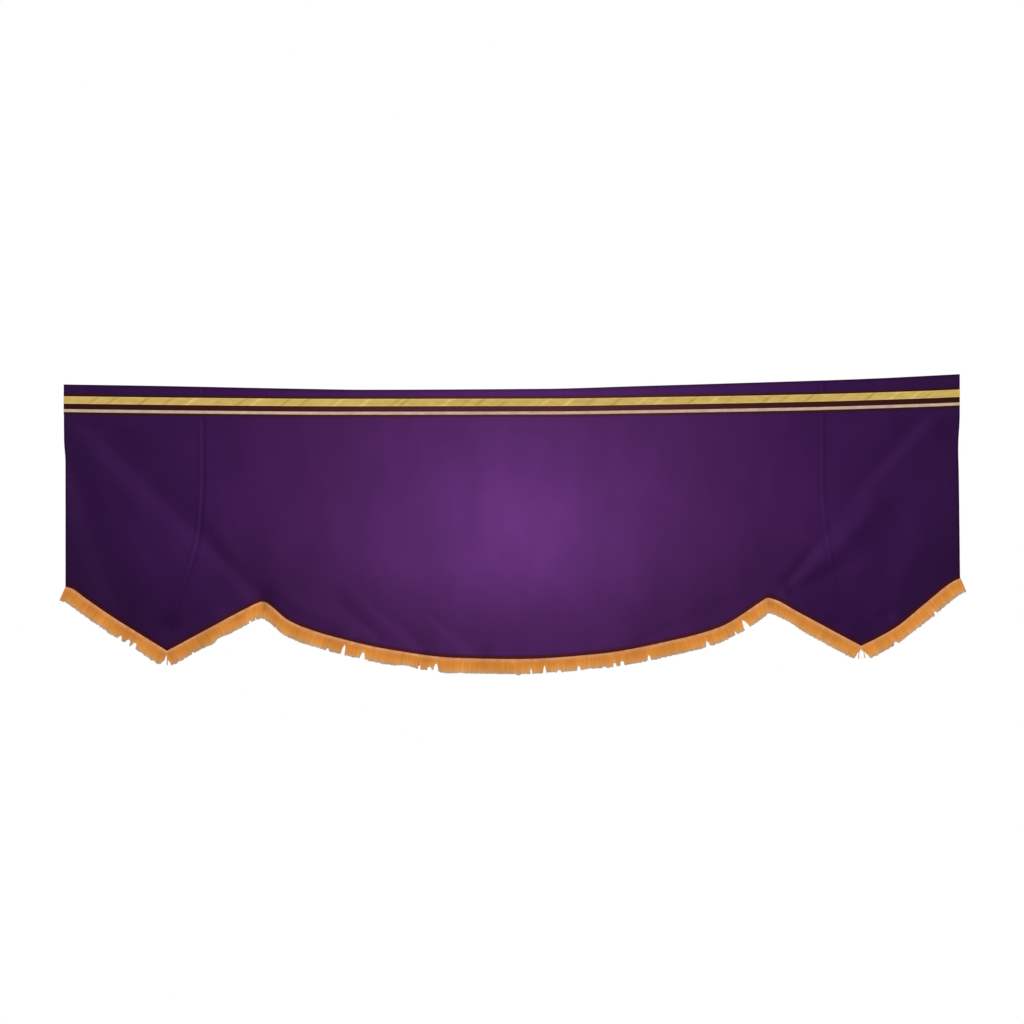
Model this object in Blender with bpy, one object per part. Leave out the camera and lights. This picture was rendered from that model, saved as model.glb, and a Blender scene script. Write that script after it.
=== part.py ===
"""Parade banner: three seamed cloth panels with a ribbon trim and a pointed, fringed hem.

Metres, +Z up. The origin is the middle of the top edge. +X runs along the width and the
face of the banner looks towards -Y. Every layer is worked out from one drape: a depth for
each place on the cloth, so that all pieces follow the same folds.
"""
import math
import random
from collections import namedtuple

import bmesh
import bpy
from mathutils import Vector

# Driving dimensions
HALF_WIDTH = 1.524            # ten feet of cloth in all
CLOTH_THICKNESS = 0.002
PIECE_GAP = 0.0003            # between two layers that lie on each other
SEAM_GAP = 0.0004             # between two panels along a seam
HEM_BAND = 0.008              # edging that shows above the fringe
FRINGE_PARTING = 0.0006       # between the edge of the cloth and the fringe heading
HEADING_DEPTH = 0.009
HEADING_THICKNESS = 0.003
LOCK_LENGTH = 0.045
LOCK_TIP_THICKNESS = 0.0022
LOCK_TIP_FILL = 0.88          # share of the room at the tips that a lock takes
LOCK_PITCH = 0.0117
LOCK_LENGTH_SPREAD = 0.04     # share by which a lock may be longer or shorter than the rest
LOCK_SIDE_SPREAD = 0.03       # share of its room by which a tip may stand to one side
LOCK_DEPTH_SPREAD = 0.0008    # how far a tip may stand forward or back
LOCK_SEED = 41
SAME_PLACE = 0.0001           # two places nearer than this are one

# How finely the cloth is divided
BODY_ROWS = 24
TRIM_FOOT_MARGIN = 0.004      # cloth stays flat this far below the trim
FOLD_FADE = 0.06              # folds reach their full depth this far below the trim

# Top edge of the cloth
EdgePoint = namedtuple("EdgePoint", "x z")
TOP_EDGE = [
    EdgePoint(-HALF_WIDTH, 0.016),
    EdgePoint(-1.200, 0.011),
    EdgePoint(-0.700, 0.001),
    EdgePoint(-0.500, -0.002),
    EdgePoint(0.100, 0.001),
    EdgePoint(0.450, 0.011),
    EdgePoint(0.750, 0.020),
    EdgePoint(1.200, 0.035),
    EdgePoint(HALF_WIDTH, 0.051),
]

# Upper edge of the gold ribbon, which isn't quite parallel to the top edge
RIBBON_LINE = [
    EdgePoint(-HALF_WIDTH, -0.024),
    EdgePoint(-1.100, -0.029),
    EdgePoint(-0.570, -0.033),
    EdgePoint(0.120, -0.032),
    EdgePoint(0.500, -0.027),
    EdgePoint(1.000, -0.018),
    EdgePoint(1.430, -0.005),
    EdgePoint(HALF_WIDTH, -0.001),
]

# Lower edge of the cloth, in three runs that meet in the two sharp points
HEM_LEFT_OUTER = [
    EdgePoint(-1.518, -0.670),
    EdgePoint(-1.495, -0.677),
    EdgePoint(-1.450, -0.709),
    EdgePoint(-1.370, -0.764),
    EdgePoint(-1.173, -0.888),
]
HEM_MIDDLE = [
    EdgePoint(-1.173, -0.888),
    EdgePoint(-0.895, -0.739),
    EdgePoint(-0.870, -0.727),
    EdgePoint(-0.850, -0.721),
    EdgePoint(-0.835, -0.724),
    EdgePoint(-0.820, -0.734),
    EdgePoint(-0.760, -0.784),
    EdgePoint(-0.700, -0.811),
    EdgePoint(-0.600, -0.842),
    EdgePoint(-0.420, -0.883),
    EdgePoint(-0.190, -0.912),
    EdgePoint(0.020, -0.916),
    EdgePoint(0.280, -0.900),
    EdgePoint(0.570, -0.847),
    EdgePoint(0.710, -0.806),
    EdgePoint(0.780, -0.766),
    EdgePoint(0.845, -0.722),
    EdgePoint(0.870, -0.708),
    EdgePoint(0.900, -0.716),
    EdgePoint(0.970, -0.754),
    EdgePoint(1.188, -0.871),
]
HEM_RIGHT_OUTER = [
    EdgePoint(1.188, -0.871),
    EdgePoint(1.245, -0.843),
    EdgePoint(1.310, -0.805),
    EdgePoint(1.400, -0.731),
    EdgePoint(1.500, -0.652),
    EdgePoint(1.525, -0.640),
]
LEFT_POINT_X = HEM_MIDDLE[0].x
RIGHT_POINT_X = HEM_MIDDLE[-1].x
LEFT_NOTCH_X = -0.850
RIGHT_NOTCH_X = 0.870

# Lines that run down the cloth: height, then place along the width
DownPoint = namedtuple("DownPoint", "z x")
LEFT_SIDE = [
    DownPoint(-0.670, -1.518),
    DownPoint(-0.250, -1.518),
    DownPoint(-0.170, -1.523),
    DownPoint(0.020, -HALF_WIDTH),
]
LEFT_SEAM = [
    DownPoint(-0.888, -1.173),
    DownPoint(-0.790, -1.155),
    DownPoint(-0.650, -1.110),
    DownPoint(-0.580, -1.085),
    DownPoint(-0.465, -1.060),
    DownPoint(-0.300, -1.052),
    DownPoint(0.010, -1.052),
]
RIGHT_SEAM = [
    DownPoint(-0.871, 1.188),
    DownPoint(-0.755, 1.125),
    DownPoint(-0.685, 1.105),
    DownPoint(-0.615, 1.090),
    DownPoint(-0.480, 1.070),
    DownPoint(-0.330, 1.057),
    DownPoint(0.030, 1.057),
]
RIGHT_SIDE = [
    DownPoint(-0.640, 1.525),
    DownPoint(-0.300, 1.521),
    DownPoint(-0.200, 1.519),
    DownPoint(-0.085, HALF_WIDTH),
    DownPoint(0.055, HALF_WIDTH),
]

# Panels, with their columns given along the hem as (from, to, how many)
Panel = namedtuple("Panel", "name left right left_gap right_gap columns")
PANELS = [
    Panel("panel_left", LEFT_SIDE, LEFT_SEAM, 0.0, SEAM_GAP / 2,
          [(HEM_LEFT_OUTER[0].x, LEFT_POINT_X, 12)]),
    Panel("panel_centre", LEFT_SEAM, RIGHT_SEAM, SEAM_GAP / 2, SEAM_GAP / 2,
          [(LEFT_POINT_X, -0.938, 8), (-0.938, LEFT_NOTCH_X, 5), (LEFT_NOTCH_X, -0.698, 8),
           (-0.698, 0.698, 17), (0.698, RIGHT_NOTCH_X, 9), (RIGHT_NOTCH_X, 0.944, 4),
           (0.944, RIGHT_POINT_X, 8)]),
    Panel("panel_right", RIGHT_SEAM, RIGHT_SIDE, SEAM_GAP / 2, 0.0,
          [(RIGHT_POINT_X, HEM_RIGHT_OUTER[-1].x, 12)]),
]

# Folds: the line of a crest or a groove, its width at each end, how many times wider its
# lower flank is, and how far each end stands forward of the cloth around it
Fold = namedtuple("Fold", "name x1 z1 x2 z2 width1 width2 flank forward1 forward2")
FOLDS = [
    Fold("left drag crest", -1.45, -0.12, -0.87, -0.69, 0.075, 0.055, 0.5, 0.016, 0.018),
    Fold("left drag groove", -1.35, -0.16, -0.90, -0.63, 0.080, 0.030, 2.4, -0.004, -0.008),
    Fold("left lower hollow", -1.46, -0.17, -1.10, -0.65, 0.030, 0.080, 2.0, -0.008, -0.009),
    Fold("left edge crest", -1.51, -0.24, -1.34, -0.74, 0.040, 0.080, 0.7, 0.005, 0.008),
    Fold("left point hollow", -1.19, -0.78, -1.01, -0.76, 0.025, 0.025, 1.5, -0.009, -0.008),
    Fold("left notch hollow", -0.83, -0.68, -0.56, -0.82, 0.035, 0.030, 1.0, -0.010, -0.008),
    Fold("right drag crest", 1.47, -0.07, 1.12, -0.47, 0.020, 0.045, 3.0, 0.016, 0.012),
    Fold("right low drag crest", 1.17, -0.46, 0.93, -0.69, 0.035, 0.018, 1.5, 0.007, 0.009),
    Fold("right upper groove", 1.42, -0.09, 0.95, -0.65, 0.055, 0.020, 1.3, -0.009, -0.007),
    Fold("right lower groove", 1.48, -0.14, 1.11, -0.64, 0.060, 0.080, 1.0, -0.006, -0.007),
    Fold("right notch crest", 0.95, -0.72, 1.15, -0.64, 0.025, 0.020, 2.0, 0.006, 0.003),
    Fold("right notch groove", 1.15, -0.60, 0.90, -0.71, 0.030, 0.020, 1.2, -0.007, -0.005),
    Fold("right point groove", 1.36, -0.46, 1.25, -0.75, 0.090, 0.070, 0.5, -0.009, -0.008),
    Fold("right low crest", 1.38, -0.50, 1.25, -0.75, 0.060, 0.040, 0.8, 0.002, 0.007),
    Fold("middle belly", -0.35, -0.56, 0.35, -0.56, 0.300, 0.300, 1.0, 0.006, 0.006),
]
FOLD_END_FADE = 0.22          # share of a fold's length over which it rises at its upper end

# Slow waves along the whole banner, which the trim follows too
Wave = namedtuple("Wave", "length phase forward")
TOP_WAVES = [
    Wave(2.10, 0.35, 0.0035),
    Wave(1.15, 1.70, 0.0015),
]

# Flat trims on the front: place below the ribbon line, width, lift off the cloth, thickness
Trim = namedtuple("Trim", "name drop width lift thickness")
TAPE_THICKNESS = 0.0008
RIBBON_THICKNESS = 0.0008
TAPE_LIFT = PIECE_GAP
RIBBON_LIFT = TAPE_LIFT + TAPE_THICKNESS + PIECE_GAP
TRIMS = [
    Trim("trim_tape", -0.008, 0.070, TAPE_LIFT, TAPE_THICKNESS),
    Trim("ribbon_gold", 0.000, 0.026, RIBBON_LIFT, RIBBON_THICKNESS),
    Trim("ribbon_cream", 0.0435, 0.0108, RIBBON_LIFT, RIBBON_THICKNESS),
]
TRIM_DEPTH = TRIMS[0].drop + TRIMS[0].width

# Fringe lengths, from one place along the hem to the next
FringeLength = namedtuple("FringeLength", "name x1 x2")
FRINGE_LENGTHS = [
    FringeLength("fringe_left_outer", HEM_LEFT_OUTER[0].x, LEFT_POINT_X),
    FringeLength("fringe_left_inner", LEFT_POINT_X, LEFT_NOTCH_X),
    FringeLength("fringe_centre", LEFT_NOTCH_X, RIGHT_NOTCH_X),
    FringeLength("fringe_right_inner", RIGHT_NOTCH_X, RIGHT_POINT_X),
    FringeLength("fringe_right_outer", RIGHT_POINT_X, HEM_RIGHT_OUTER[-1].x),
]
FRINGE_TURN_SPREAD = 0.095    # the locks share out a turn of the hem over this distance
TURN_SAMPLES = 10
Fan = namedtuple("Fan", "x share reach")
FANS = [                      # beside these places the locks lean towards straight down
    Fan(HEM_LEFT_OUTER[0].x, 0.25, 0.045),
    Fan(LEFT_POINT_X, 0.25, 0.050),
    Fan(RIGHT_POINT_X, 0.05, 0.050),
    Fan(HEM_RIGHT_OUTER[-1].x, 0.30, 0.045),
]

# One lock: where it starts, the way it hangs and the room that it has at its tip
Lock = namedtuple("Lock", "root way room")

# Stretches of fringe that hang longer or shorter than its plain share of the full length
Stretch = namedtuple("Stretch", "x reach change")
PLAIN_SHARE = 0.95
UNEVEN_STRETCHES = [
    Stretch(-1.33, 0.04, 0.06),
    Stretch(-1.19, 0.05, 0.08),
    Stretch(-1.04, 0.02, 0.07),
    Stretch(-1.01, 0.02, -0.10),
    Stretch(-0.85, 0.03, 0.13),
    Stretch(-0.79, 0.02, -0.06),
    Stretch(-0.70, 0.02, 0.04),
    Stretch(-0.50, 0.02, -0.07),
    Stretch(-0.35, 0.03, -0.15),
    Stretch(-0.27, 0.02, -0.10),
    Stretch(-0.22, 0.02, 0.05),
    Stretch(0.02, 0.01, 0.08),
    Stretch(0.13, 0.03, -0.05),
    Stretch(0.26, 0.04, -0.08),
    Stretch(0.73, 0.02, -0.08),
    Stretch(0.85, 0.03, 0.06),
    Stretch(0.96, 0.04, -0.15),
    Stretch(1.21, 0.02, 0.04),
    Stretch(1.33, 0.03, -0.08),
    Stretch(1.41, 0.01, 0.06),
]

# Locks that are cut short: place along the hem and what is left of the lock
ShortLock = namedtuple("ShortLock", "x share")
SHORT_LOCKS = [
    ShortLock(-1.310, 0.80),
    ShortLock(-1.285, 0.70),
    ShortLock(-1.265, 0.70),
    ShortLock(-0.565, 0.45),
    ShortLock(-0.500, 0.55),
    ShortLock(-0.310, 0.75),
    ShortLock(-0.255, 0.55),
    ShortLock(0.110, 0.55),
    ShortLock(0.225, 0.70),
    ShortLock(0.345, 0.75),
    ShortLock(0.370, 0.65),
    ShortLock(0.460, 0.65),
    ShortLock(0.655, 0.65),
    ShortLock(0.780, 0.40),
]

# Materials, with linear colours
Finish = namedtuple("Finish", "name colour roughness metallic")
CLOTH = Finish("purple cloth", (0.070, 0.018, 0.110), 0.75, 0.0)
TAPE = Finish("maroon tape", (0.040, 0.012, 0.012), 0.80, 0.0)
GOLD = Finish("gold satin", (0.560, 0.390, 0.100), 0.40, 0.3)
CREAM = Finish("cream ribbon", (0.510, 0.350, 0.290), 0.55, 0.0)
YARN = Finish("fringe yarn", (0.640, 0.240, 0.040), 0.85, 0.0)


def smooth_value(rows, place):
    """Value of a smooth curve through rows of (place, value), which never overshoots."""
    places = [row[0] for row in rows]
    values = [row[1] for row in rows]
    last = len(rows) - 1
    if place <= places[0]:
        return values[0]
    if place >= places[last]:
        return values[last]
    slopes = [(values[i + 1] - values[i]) / (places[i + 1] - places[i]) for i in range(last)]

    def tangent(i):
        if i == 0:
            return slopes[0]
        if i == last:
            return slopes[-1]
        before, after = slopes[i - 1], slopes[i]
        if before * after <= 0:
            return 0.0
        return 2 * before * after / (before + after)

    i = max(k for k in range(last) if places[k] <= place)
    span = places[i + 1] - places[i]
    t = (place - places[i]) / span
    return ((2 * t ** 3 - 3 * t ** 2 + 1) * values[i]
            + (t ** 3 - 2 * t ** 2 + t) * span * tangent(i)
            + (3 * t ** 2 - 2 * t ** 3) * values[i + 1]
            + (t ** 3 - t ** 2) * span * tangent(i + 1))


def smooth_step(t):
    """Rise gently from 0 to 1 while t goes from 0 to 1."""
    t = min(1.0, max(0.0, t))
    return t * t * (3 - 2 * t)


def top_z(x):
    return smooth_value(TOP_EDGE, x)


def ribbon_z(x):
    return smooth_value(RIBBON_LINE, x)


def hem_z(x):
    if x <= LEFT_POINT_X:
        return smooth_value(HEM_LEFT_OUTER, x)
    if x >= RIGHT_POINT_X:
        return smooth_value(HEM_RIGHT_OUTER, x)
    return smooth_value(HEM_MIDDLE, x)


def fold_forward(fold, x, z):
    """How far one fold brings the cloth forward at a place."""
    run = Vector((fold.x2 - fold.x1, fold.z2 - fold.z1))
    away = Vector((x - fold.x1, z - fold.z1))
    along = away.dot(run) / run.length_squared
    across = (run.x * away.y - run.y * away.x) / run.length
    share = min(1.0, max(0.0, along))
    width = fold.width1 + (fold.width2 - fold.width1) * share
    forward = fold.forward1 + (fold.forward2 - fold.forward1) * share
    past_end = max(0.0, along - 1.0) * run.length / (width * max(1.0, fold.flank))
    if across * run.x < 0:
        width *= fold.flank
    rise = smooth_step((along + FOLD_END_FADE) / (2 * FOLD_END_FADE))
    return forward * rise * math.exp(-(across / width) ** 2 - past_end ** 2)


def drape_y(x, z):
    """Depth of the middle of the cloth. The face of the banner is on the -Y side."""
    forward = 0.0
    for wave in TOP_WAVES:
        forward += wave.forward * math.cos(2 * math.pi * x / wave.length + wave.phase)
    trim_foot = ribbon_z(x) - TRIM_DEPTH - TRIM_FOOT_MARGIN
    below_trim = smooth_step((trim_foot - z) / FOLD_FADE)
    if below_trim > 0:
        forward += below_trim * sum(fold_forward(fold, x, z) for fold in FOLDS)
    return -forward


def column_places(columns):
    """Places along the hem where one panel's columns end."""
    places = [columns[0][0]]
    for start, end, count in columns:
        places += [start + (end - start) * (k + 1) / count for k in range(count)]
    return places


def hem_line():
    """The hem at every column of every panel, from left to right, as points of the drape."""
    places = []
    for panel in PANELS:
        places += [x for x in column_places(panel.columns) if not places or x > places[-1]]
    return [Vector((x, drape_y(x, hem_z(x)), hem_z(x))) for x in places]


HEM_LINE = hem_line()


def band_rise(x):
    """Height that gives the hem band its width at a column, whatever the slope there."""
    rises = []
    for a, b in zip(HEM_LINE, HEM_LINE[1:]):
        if a.x - SAME_PLACE < x < b.x + SAME_PLACE:
            rises.append(HEM_BAND * math.hypot(b.x - a.x, b.z - a.z) / (b.x - a.x))
    return sum(rises) / len(rises)


def cloth_point(panel, hem_x, row, rows):
    """A point of a panel's middle surface: row 0 is the top edge and the last row the hem."""
    left_hem = panel.left[0].x
    right_hem = panel.right[0].x
    side_share = (hem_x - left_hem) / (right_hem - left_hem)
    top_left = panel.left[-1].x
    top_right = panel.right[-1].x
    top_x = top_left + (top_right - top_left) * side_share
    top = top_z(top_x)
    foot = hem_z(hem_x)
    trim_foot = ribbon_z(top_x) - TRIM_DEPTH - TRIM_FOOT_MARGIN
    band_top = foot + band_rise(hem_x)
    if row == 0:
        z = top
    elif row == rows:
        z = foot
    else:
        z = trim_foot + (band_top - trim_foot) * (row - 1) / (rows - 2)
    down = (top - z) / (top - foot)
    left_top, right_top = top_z(top_left), top_z(top_right)
    left_z = left_top + (panel.left[0].z - left_top) * down
    right_z = right_top + (panel.right[0].z - right_top) * down
    left_x = smooth_value(panel.left, left_z) + panel.left_gap
    right_x = smooth_value(panel.right, right_z) - panel.right_gap
    x = left_x + (right_x - left_x) * side_share
    return Vector((x, drape_y(x, z), z))


def grid_sheet(columns, rows, place):
    """A front surface of columns by rows cells, each vertex put where place(i, j) says.

    The cells are split along the folds, which run down towards the notches on both sides.
    """
    bm = bmesh.new()
    bmesh.ops.create_grid(bm, x_segments=columns, y_segments=rows, size=0.5)
    for vert in bm.verts:
        i = round((vert.co.x + 0.5) * columns)
        j = round((0.5 - vert.co.y) * rows)
        vert.co = place(i, j)
    falling = [face for face in bm.faces if face.calc_center_median().x < 0]
    rising = [face for face in bm.faces if face.calc_center_median().x >= 0]
    bmesh.ops.triangulate(bm, faces=falling, quad_method="ALTERNATE")
    bmesh.ops.triangulate(bm, faces=rising, quad_method="FIXED")
    return bm


def thicken(bm, thickness):
    """Give a front surface its thickness straight back, so that layers stay parallel."""
    back = bmesh.ops.extrude_face_region(bm, geom=bm.faces[:])
    moved = [item for item in back["geom"] if isinstance(item, bmesh.types.BMVert)]
    bmesh.ops.translate(bm, verts=moved, vec=(0.0, thickness, 0.0))
    bmesh.ops.recalc_face_normals(bm, faces=bm.faces[:])


def add_object(bm, name, material):
    """Turn a finished bmesh into a named object with its material."""
    mesh = bpy.data.meshes.new(name)
    bm.to_mesh(mesh)
    bm.free()
    mesh.materials.append(material)
    piece = bpy.data.objects.new(name, mesh)
    bpy.context.scene.collection.objects.link(piece)
    return piece


def make_material(finish):
    material = bpy.data.materials.new(finish.name)
    material.use_nodes = True
    shader = material.node_tree.nodes["Principled BSDF"]
    shader.inputs["Base Color"].default_value = (*finish.colour, 1.0)
    shader.inputs["Roughness"].default_value = finish.roughness
    shader.inputs["Metallic"].default_value = finish.metallic
    material.diffuse_color = (*finish.colour, 1.0)
    return material


def make_panel(panel, material):
    """One cloth panel, from the top edge down to the hem."""
    places = column_places(panel.columns)
    rows = BODY_ROWS + 2
    front = Vector((0.0, -CLOTH_THICKNESS / 2, 0.0))

    def place(i, j):
        return cloth_point(panel, places[i], j, rows) + front

    bm = grid_sheet(len(places) - 1, rows, place)
    thicken(bm, CLOTH_THICKNESS)
    add_object(bm, panel.name, material)


def trim_stations():
    """Places along the top edge where the columns of all panels begin."""
    stations = []
    for panel in PANELS:
        hem_places = column_places(panel.columns)
        left, right = panel.left, panel.right
        for x in hem_places:
            share = (x - left[0].x) / (right[0].x - left[0].x)
            top_x = left[-1].x + (right[-1].x - left[-1].x) * share
            if not stations or top_x > stations[-1] + SAME_PLACE:
                stations.append(top_x)
    return stations


def make_trim(trim, material):
    """A flat tape or ribbon across all panels, along the ribbon line."""
    stations = trim_stations()
    front = CLOTH_THICKNESS / 2 + trim.lift + trim.thickness

    def place(i, j):
        x = stations[i]
        z = ribbon_z(x) - trim.drop - trim.width * j
        return Vector((x, drape_y(x, top_z(x)) - front, z))

    bm = grid_sheet(len(stations) - 1, 1, place)
    thicken(bm, trim.thickness)
    add_object(bm, trim.name, material)


def make_edging(material):
    """The narrow edging on the face of the cloth, right above the fringe."""
    front = Vector((0.0, -CLOTH_THICKNESS / 2 - PIECE_GAP - TAPE_THICKNESS, 0.0))
    rows = BODY_ROWS + 2
    columns = []
    for panel in PANELS:
        plain = panel._replace(left_gap=0.0, right_gap=0.0)
        for x in column_places(panel.columns):
            if not columns or x > columns[-1][1]:
                columns.append((plain, x))

    def place(i, j):
        panel, x = columns[i]
        return cloth_point(panel, x, rows - 1 + j, rows) + front

    bm = grid_sheet(len(columns) - 1, 1, place)
    thicken(bm, TAPE_THICKNESS)
    add_object(bm, "hem_edging", material)


def downward(a, b):
    """Direction in the plane of the banner that leaves a stretch of hem at a right angle."""
    return Vector((b.z - a.z, 0.0, a.x - b.x)).normalized()


def hem_stretch(x1, x2):
    """The hem points from one place to another, both of which are columns."""
    return [point for point in HEM_LINE if x1 - SAME_PLACE < point.x < x2 + SAME_PLACE]


def mitre(x):
    """Direction of the cut between two lengths that meet at a place, or None at a free end."""
    i = min(range(len(HEM_LINE)), key=lambda k: abs(HEM_LINE[k].x - x))
    if i in (0, len(HEM_LINE) - 1):
        return None
    before = downward(HEM_LINE[i - 1], HEM_LINE[i])
    after = downward(HEM_LINE[i], HEM_LINE[i + 1])
    middle = (before + after).normalized()
    return middle / middle.dot(after)


def heading_edges(length):
    """Upper and lower edge of a heading strip, with a point at the border of every lock."""
    line = hem_stretch(length.x1, length.x2)
    normals = [downward(a, b) for a, b in zip(line, line[1:])]
    corners = [normals[0]]
    corners += [(a + b).normalized() for a, b in zip(normals, normals[1:])]
    corners.append(normals[-1])
    runs = [math.hypot(b.x - a.x, b.z - a.z) for a, b in zip(line, line[1:])]
    total = sum(runs)
    count = round(total / LOCK_PITCH)
    upper, lower = [], []
    for i in range(count + 1):
        distance = min(total - PIECE_GAP, max(PIECE_GAP, total * i / count))
        k = 0
        while distance > runs[k] and k < len(runs) - 1:
            distance -= runs[k]
            k += 1
        point = line[k].lerp(line[k + 1], distance / runs[k])
        normal = corners[k].lerp(corners[k + 1], distance / runs[k])
        if i == 0:
            normal = mitre(length.x1) or normal
        if i == count:
            normal = mitre(length.x2) or normal
        upper.append(point + normal * FRINGE_PARTING)
        lower.append(point + normal * (FRINGE_PARTING + HEADING_DEPTH))
    return upper, lower


def lock_direction(x, run_start, run_end):
    """Direction of the locks at a place: at a right angle to the hem, but a turn is shared."""
    start = max(run_start, x - FRINGE_TURN_SPREAD)
    end = min(run_end, x + FRINGE_TURN_SPREAD)
    places = [start + (end - start) * k / TURN_SAMPLES for k in range(TURN_SAMPLES + 1)]
    spots = [Vector((place, 0.0, hem_z(place))) for place in places]
    total = Vector((0.0, 0.0, 0.0))
    for a, b in zip(spots, spots[1:]):
        total += downward(a, b)
    way = total.normalized()
    for fan in FANS:
        near = smooth_step(1 - abs(x - fan.x) / fan.reach)
        way = way.lerp(Vector((0.0, 0.0, -1.0)), fan.share * near)
    return way.normalized()


def smooth_run(length):
    """Ends of the run of the hem, from point to point, that a length belongs to."""
    if length.x2 <= LEFT_POINT_X:
        return HEM_LEFT_OUTER[0].x, LEFT_POINT_X
    if length.x1 >= RIGHT_POINT_X:
        return RIGHT_POINT_X, HEM_RIGHT_OUTER[-1].x
    return LEFT_POINT_X, RIGHT_POINT_X


def make_fringe(length, edges, locks, material, chance):
    """One length of fringe: a heading strip with locks that hang from it side by side."""
    upper, lower = edges
    front = Vector((0.0, -HEADING_THICKNESS / 2, 0.0))

    def place(i, j):
        return (upper, lower)[j][i] + front

    bm = grid_sheet(len(upper) - 1, 1, place)
    thicken(bm, HEADING_THICKNESS)
    add_locks(bm, lower, locks, chance)
    add_object(bm, length.name, material)


def make_fringes(material):
    """Every length of fringe. A lock is as wide at its tip as its neighbours leave room."""
    edges = [heading_edges(length) for length in FRINGE_LENGTHS]
    locks = []
    for length, (_, lower) in zip(FRINGE_LENGTHS, edges):
        roots = [(a + b) / 2 for a, b in zip(lower, lower[1:])]
        locks.append([Lock(root, lock_direction(root.x, *smooth_run(length)), LOCK_PITCH)
                      for root in roots])
    every = [lock for row in locks for lock in row]
    tips = [lock.root + lock.way * LOCK_LENGTH for lock in every]
    spaces = [math.hypot(b.x - a.x, b.z - a.z) for a, b in zip(tips, tips[1:])]
    spaces = [LOCK_PITCH, *spaces, LOCK_PITCH]
    rooms = iter([min(LOCK_PITCH, *pair) for pair in zip(spaces, spaces[1:])])
    chance = random.Random(LOCK_SEED)
    for length, edge, row in zip(FRINGE_LENGTHS, edges, locks):
        fitted = [lock._replace(room=next(rooms)) for lock in row]
        make_fringe(length, edge, fitted, material, chance)


def spot_key(point):
    """Place in the plane of the banner, rounded so that equal places compare as equal."""
    return round(point.x, 5), round(point.z, 5)


def add_locks(bm, lower, locks, chance):
    """Extrude each face on the underside of the heading into one tapering lock."""
    spots = {spot_key(point) for point in lower}
    under = [face for face in bm.faces if all(spot_key(vert.co) in spots for vert in face.verts)]
    made = bmesh.ops.extrude_discrete_faces(bm, faces=under)["faces"]
    made.sort(key=lambda face: face.calc_center_median().x)
    for lock, face in zip(locks, made):
        side = Vector((-lock.way.z, 0.0, lock.way.x))
        uneven = 1 + LOCK_LENGTH_SPREAD * chance.uniform(-1, 1)
        tip = lock.root + lock.way * LOCK_LENGTH * uneven * lock_share(lock)
        tip += side * lock.room * LOCK_SIDE_SPREAD * chance.uniform(-1, 1)
        tip.y += LOCK_DEPTH_SPREAD * chance.uniform(-1, 1)
        for vert in face.verts:
            half_width = lock.room * LOCK_TIP_FILL / 2
            flank = math.copysign(half_width, (vert.co - lock.root).dot(side))
            depth = math.copysign(LOCK_TIP_THICKNESS / 2, vert.co.y - lock.root.y)
            vert.co = tip + side * flank + Vector((0.0, depth, 0.0))
    bmesh.ops.recalc_face_normals(bm, faces=bm.faces[:])


def lock_share(lock):
    """Length of a lock as a share of the full one: the fringe is uneven and partly worn off."""
    for short in SHORT_LOCKS:
        if abs(short.x - lock.root.x) <= LOCK_PITCH / 2:
            return short.share
    share = PLAIN_SHARE
    for stretch in UNEVEN_STRETCHES:
        share += stretch.change * math.exp(-((lock.root.x - stretch.x) / stretch.reach) ** 2)
    return share


def main():
    for old in list(bpy.data.objects):
        bpy.data.objects.remove(old)
    cloth, maroon, gold, cream, yarn = map(make_material, (CLOTH, TAPE, GOLD, CREAM, YARN))
    for panel in PANELS:
        make_panel(panel, cloth)
    for trim, material in zip(TRIMS, (maroon, gold, cream)):
        make_trim(trim, material)
    make_edging(maroon)
    make_fringes(yarn)


main()
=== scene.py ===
# %% [markdown]
# # A parade banner
#
# The real thing is a cloth banner three metres wide. Three panels are seamed together, two
# ribbons on a dark tape run along the top, and a yarn fringe follows a hem with two sharp
# points and a long round middle. It hangs from its top edge.
#
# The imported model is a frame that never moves: it gives each piece its place. This script
# hangs fine cloth, ribbons, yarns and stitches on that frame.

# %% Load the frame
import math
import random
from bisect import bisect_right
from collections import namedtuple

import bmesh
import bpy
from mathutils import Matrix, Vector, noise


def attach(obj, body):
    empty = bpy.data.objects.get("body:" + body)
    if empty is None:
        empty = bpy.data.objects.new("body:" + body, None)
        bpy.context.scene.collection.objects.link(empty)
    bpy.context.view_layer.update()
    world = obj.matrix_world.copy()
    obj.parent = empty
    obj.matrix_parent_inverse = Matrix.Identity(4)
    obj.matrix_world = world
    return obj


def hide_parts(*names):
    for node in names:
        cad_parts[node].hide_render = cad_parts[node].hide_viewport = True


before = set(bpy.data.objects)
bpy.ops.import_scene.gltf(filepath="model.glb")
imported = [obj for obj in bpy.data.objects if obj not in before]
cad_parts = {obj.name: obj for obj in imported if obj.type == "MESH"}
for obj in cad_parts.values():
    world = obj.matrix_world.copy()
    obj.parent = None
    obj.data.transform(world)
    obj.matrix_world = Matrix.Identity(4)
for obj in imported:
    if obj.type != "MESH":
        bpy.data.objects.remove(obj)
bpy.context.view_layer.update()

# %% [markdown]
# ## Camera
#
# The picture was taken square on, from far away, so upright lines stay upright. A long lens
# at fourteen metres does the same. The lens follows from the width that the picture covers.

# %% Camera
SENSOR_WIDTH = 36.0
PICTURE_WIDTH = 3.483         # metres of banner plane that the picture is wide
CAMERA_DISTANCE = 14.0
PICTURE_CENTRE = Vector((0.0009, 0.0, -0.4180))

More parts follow.
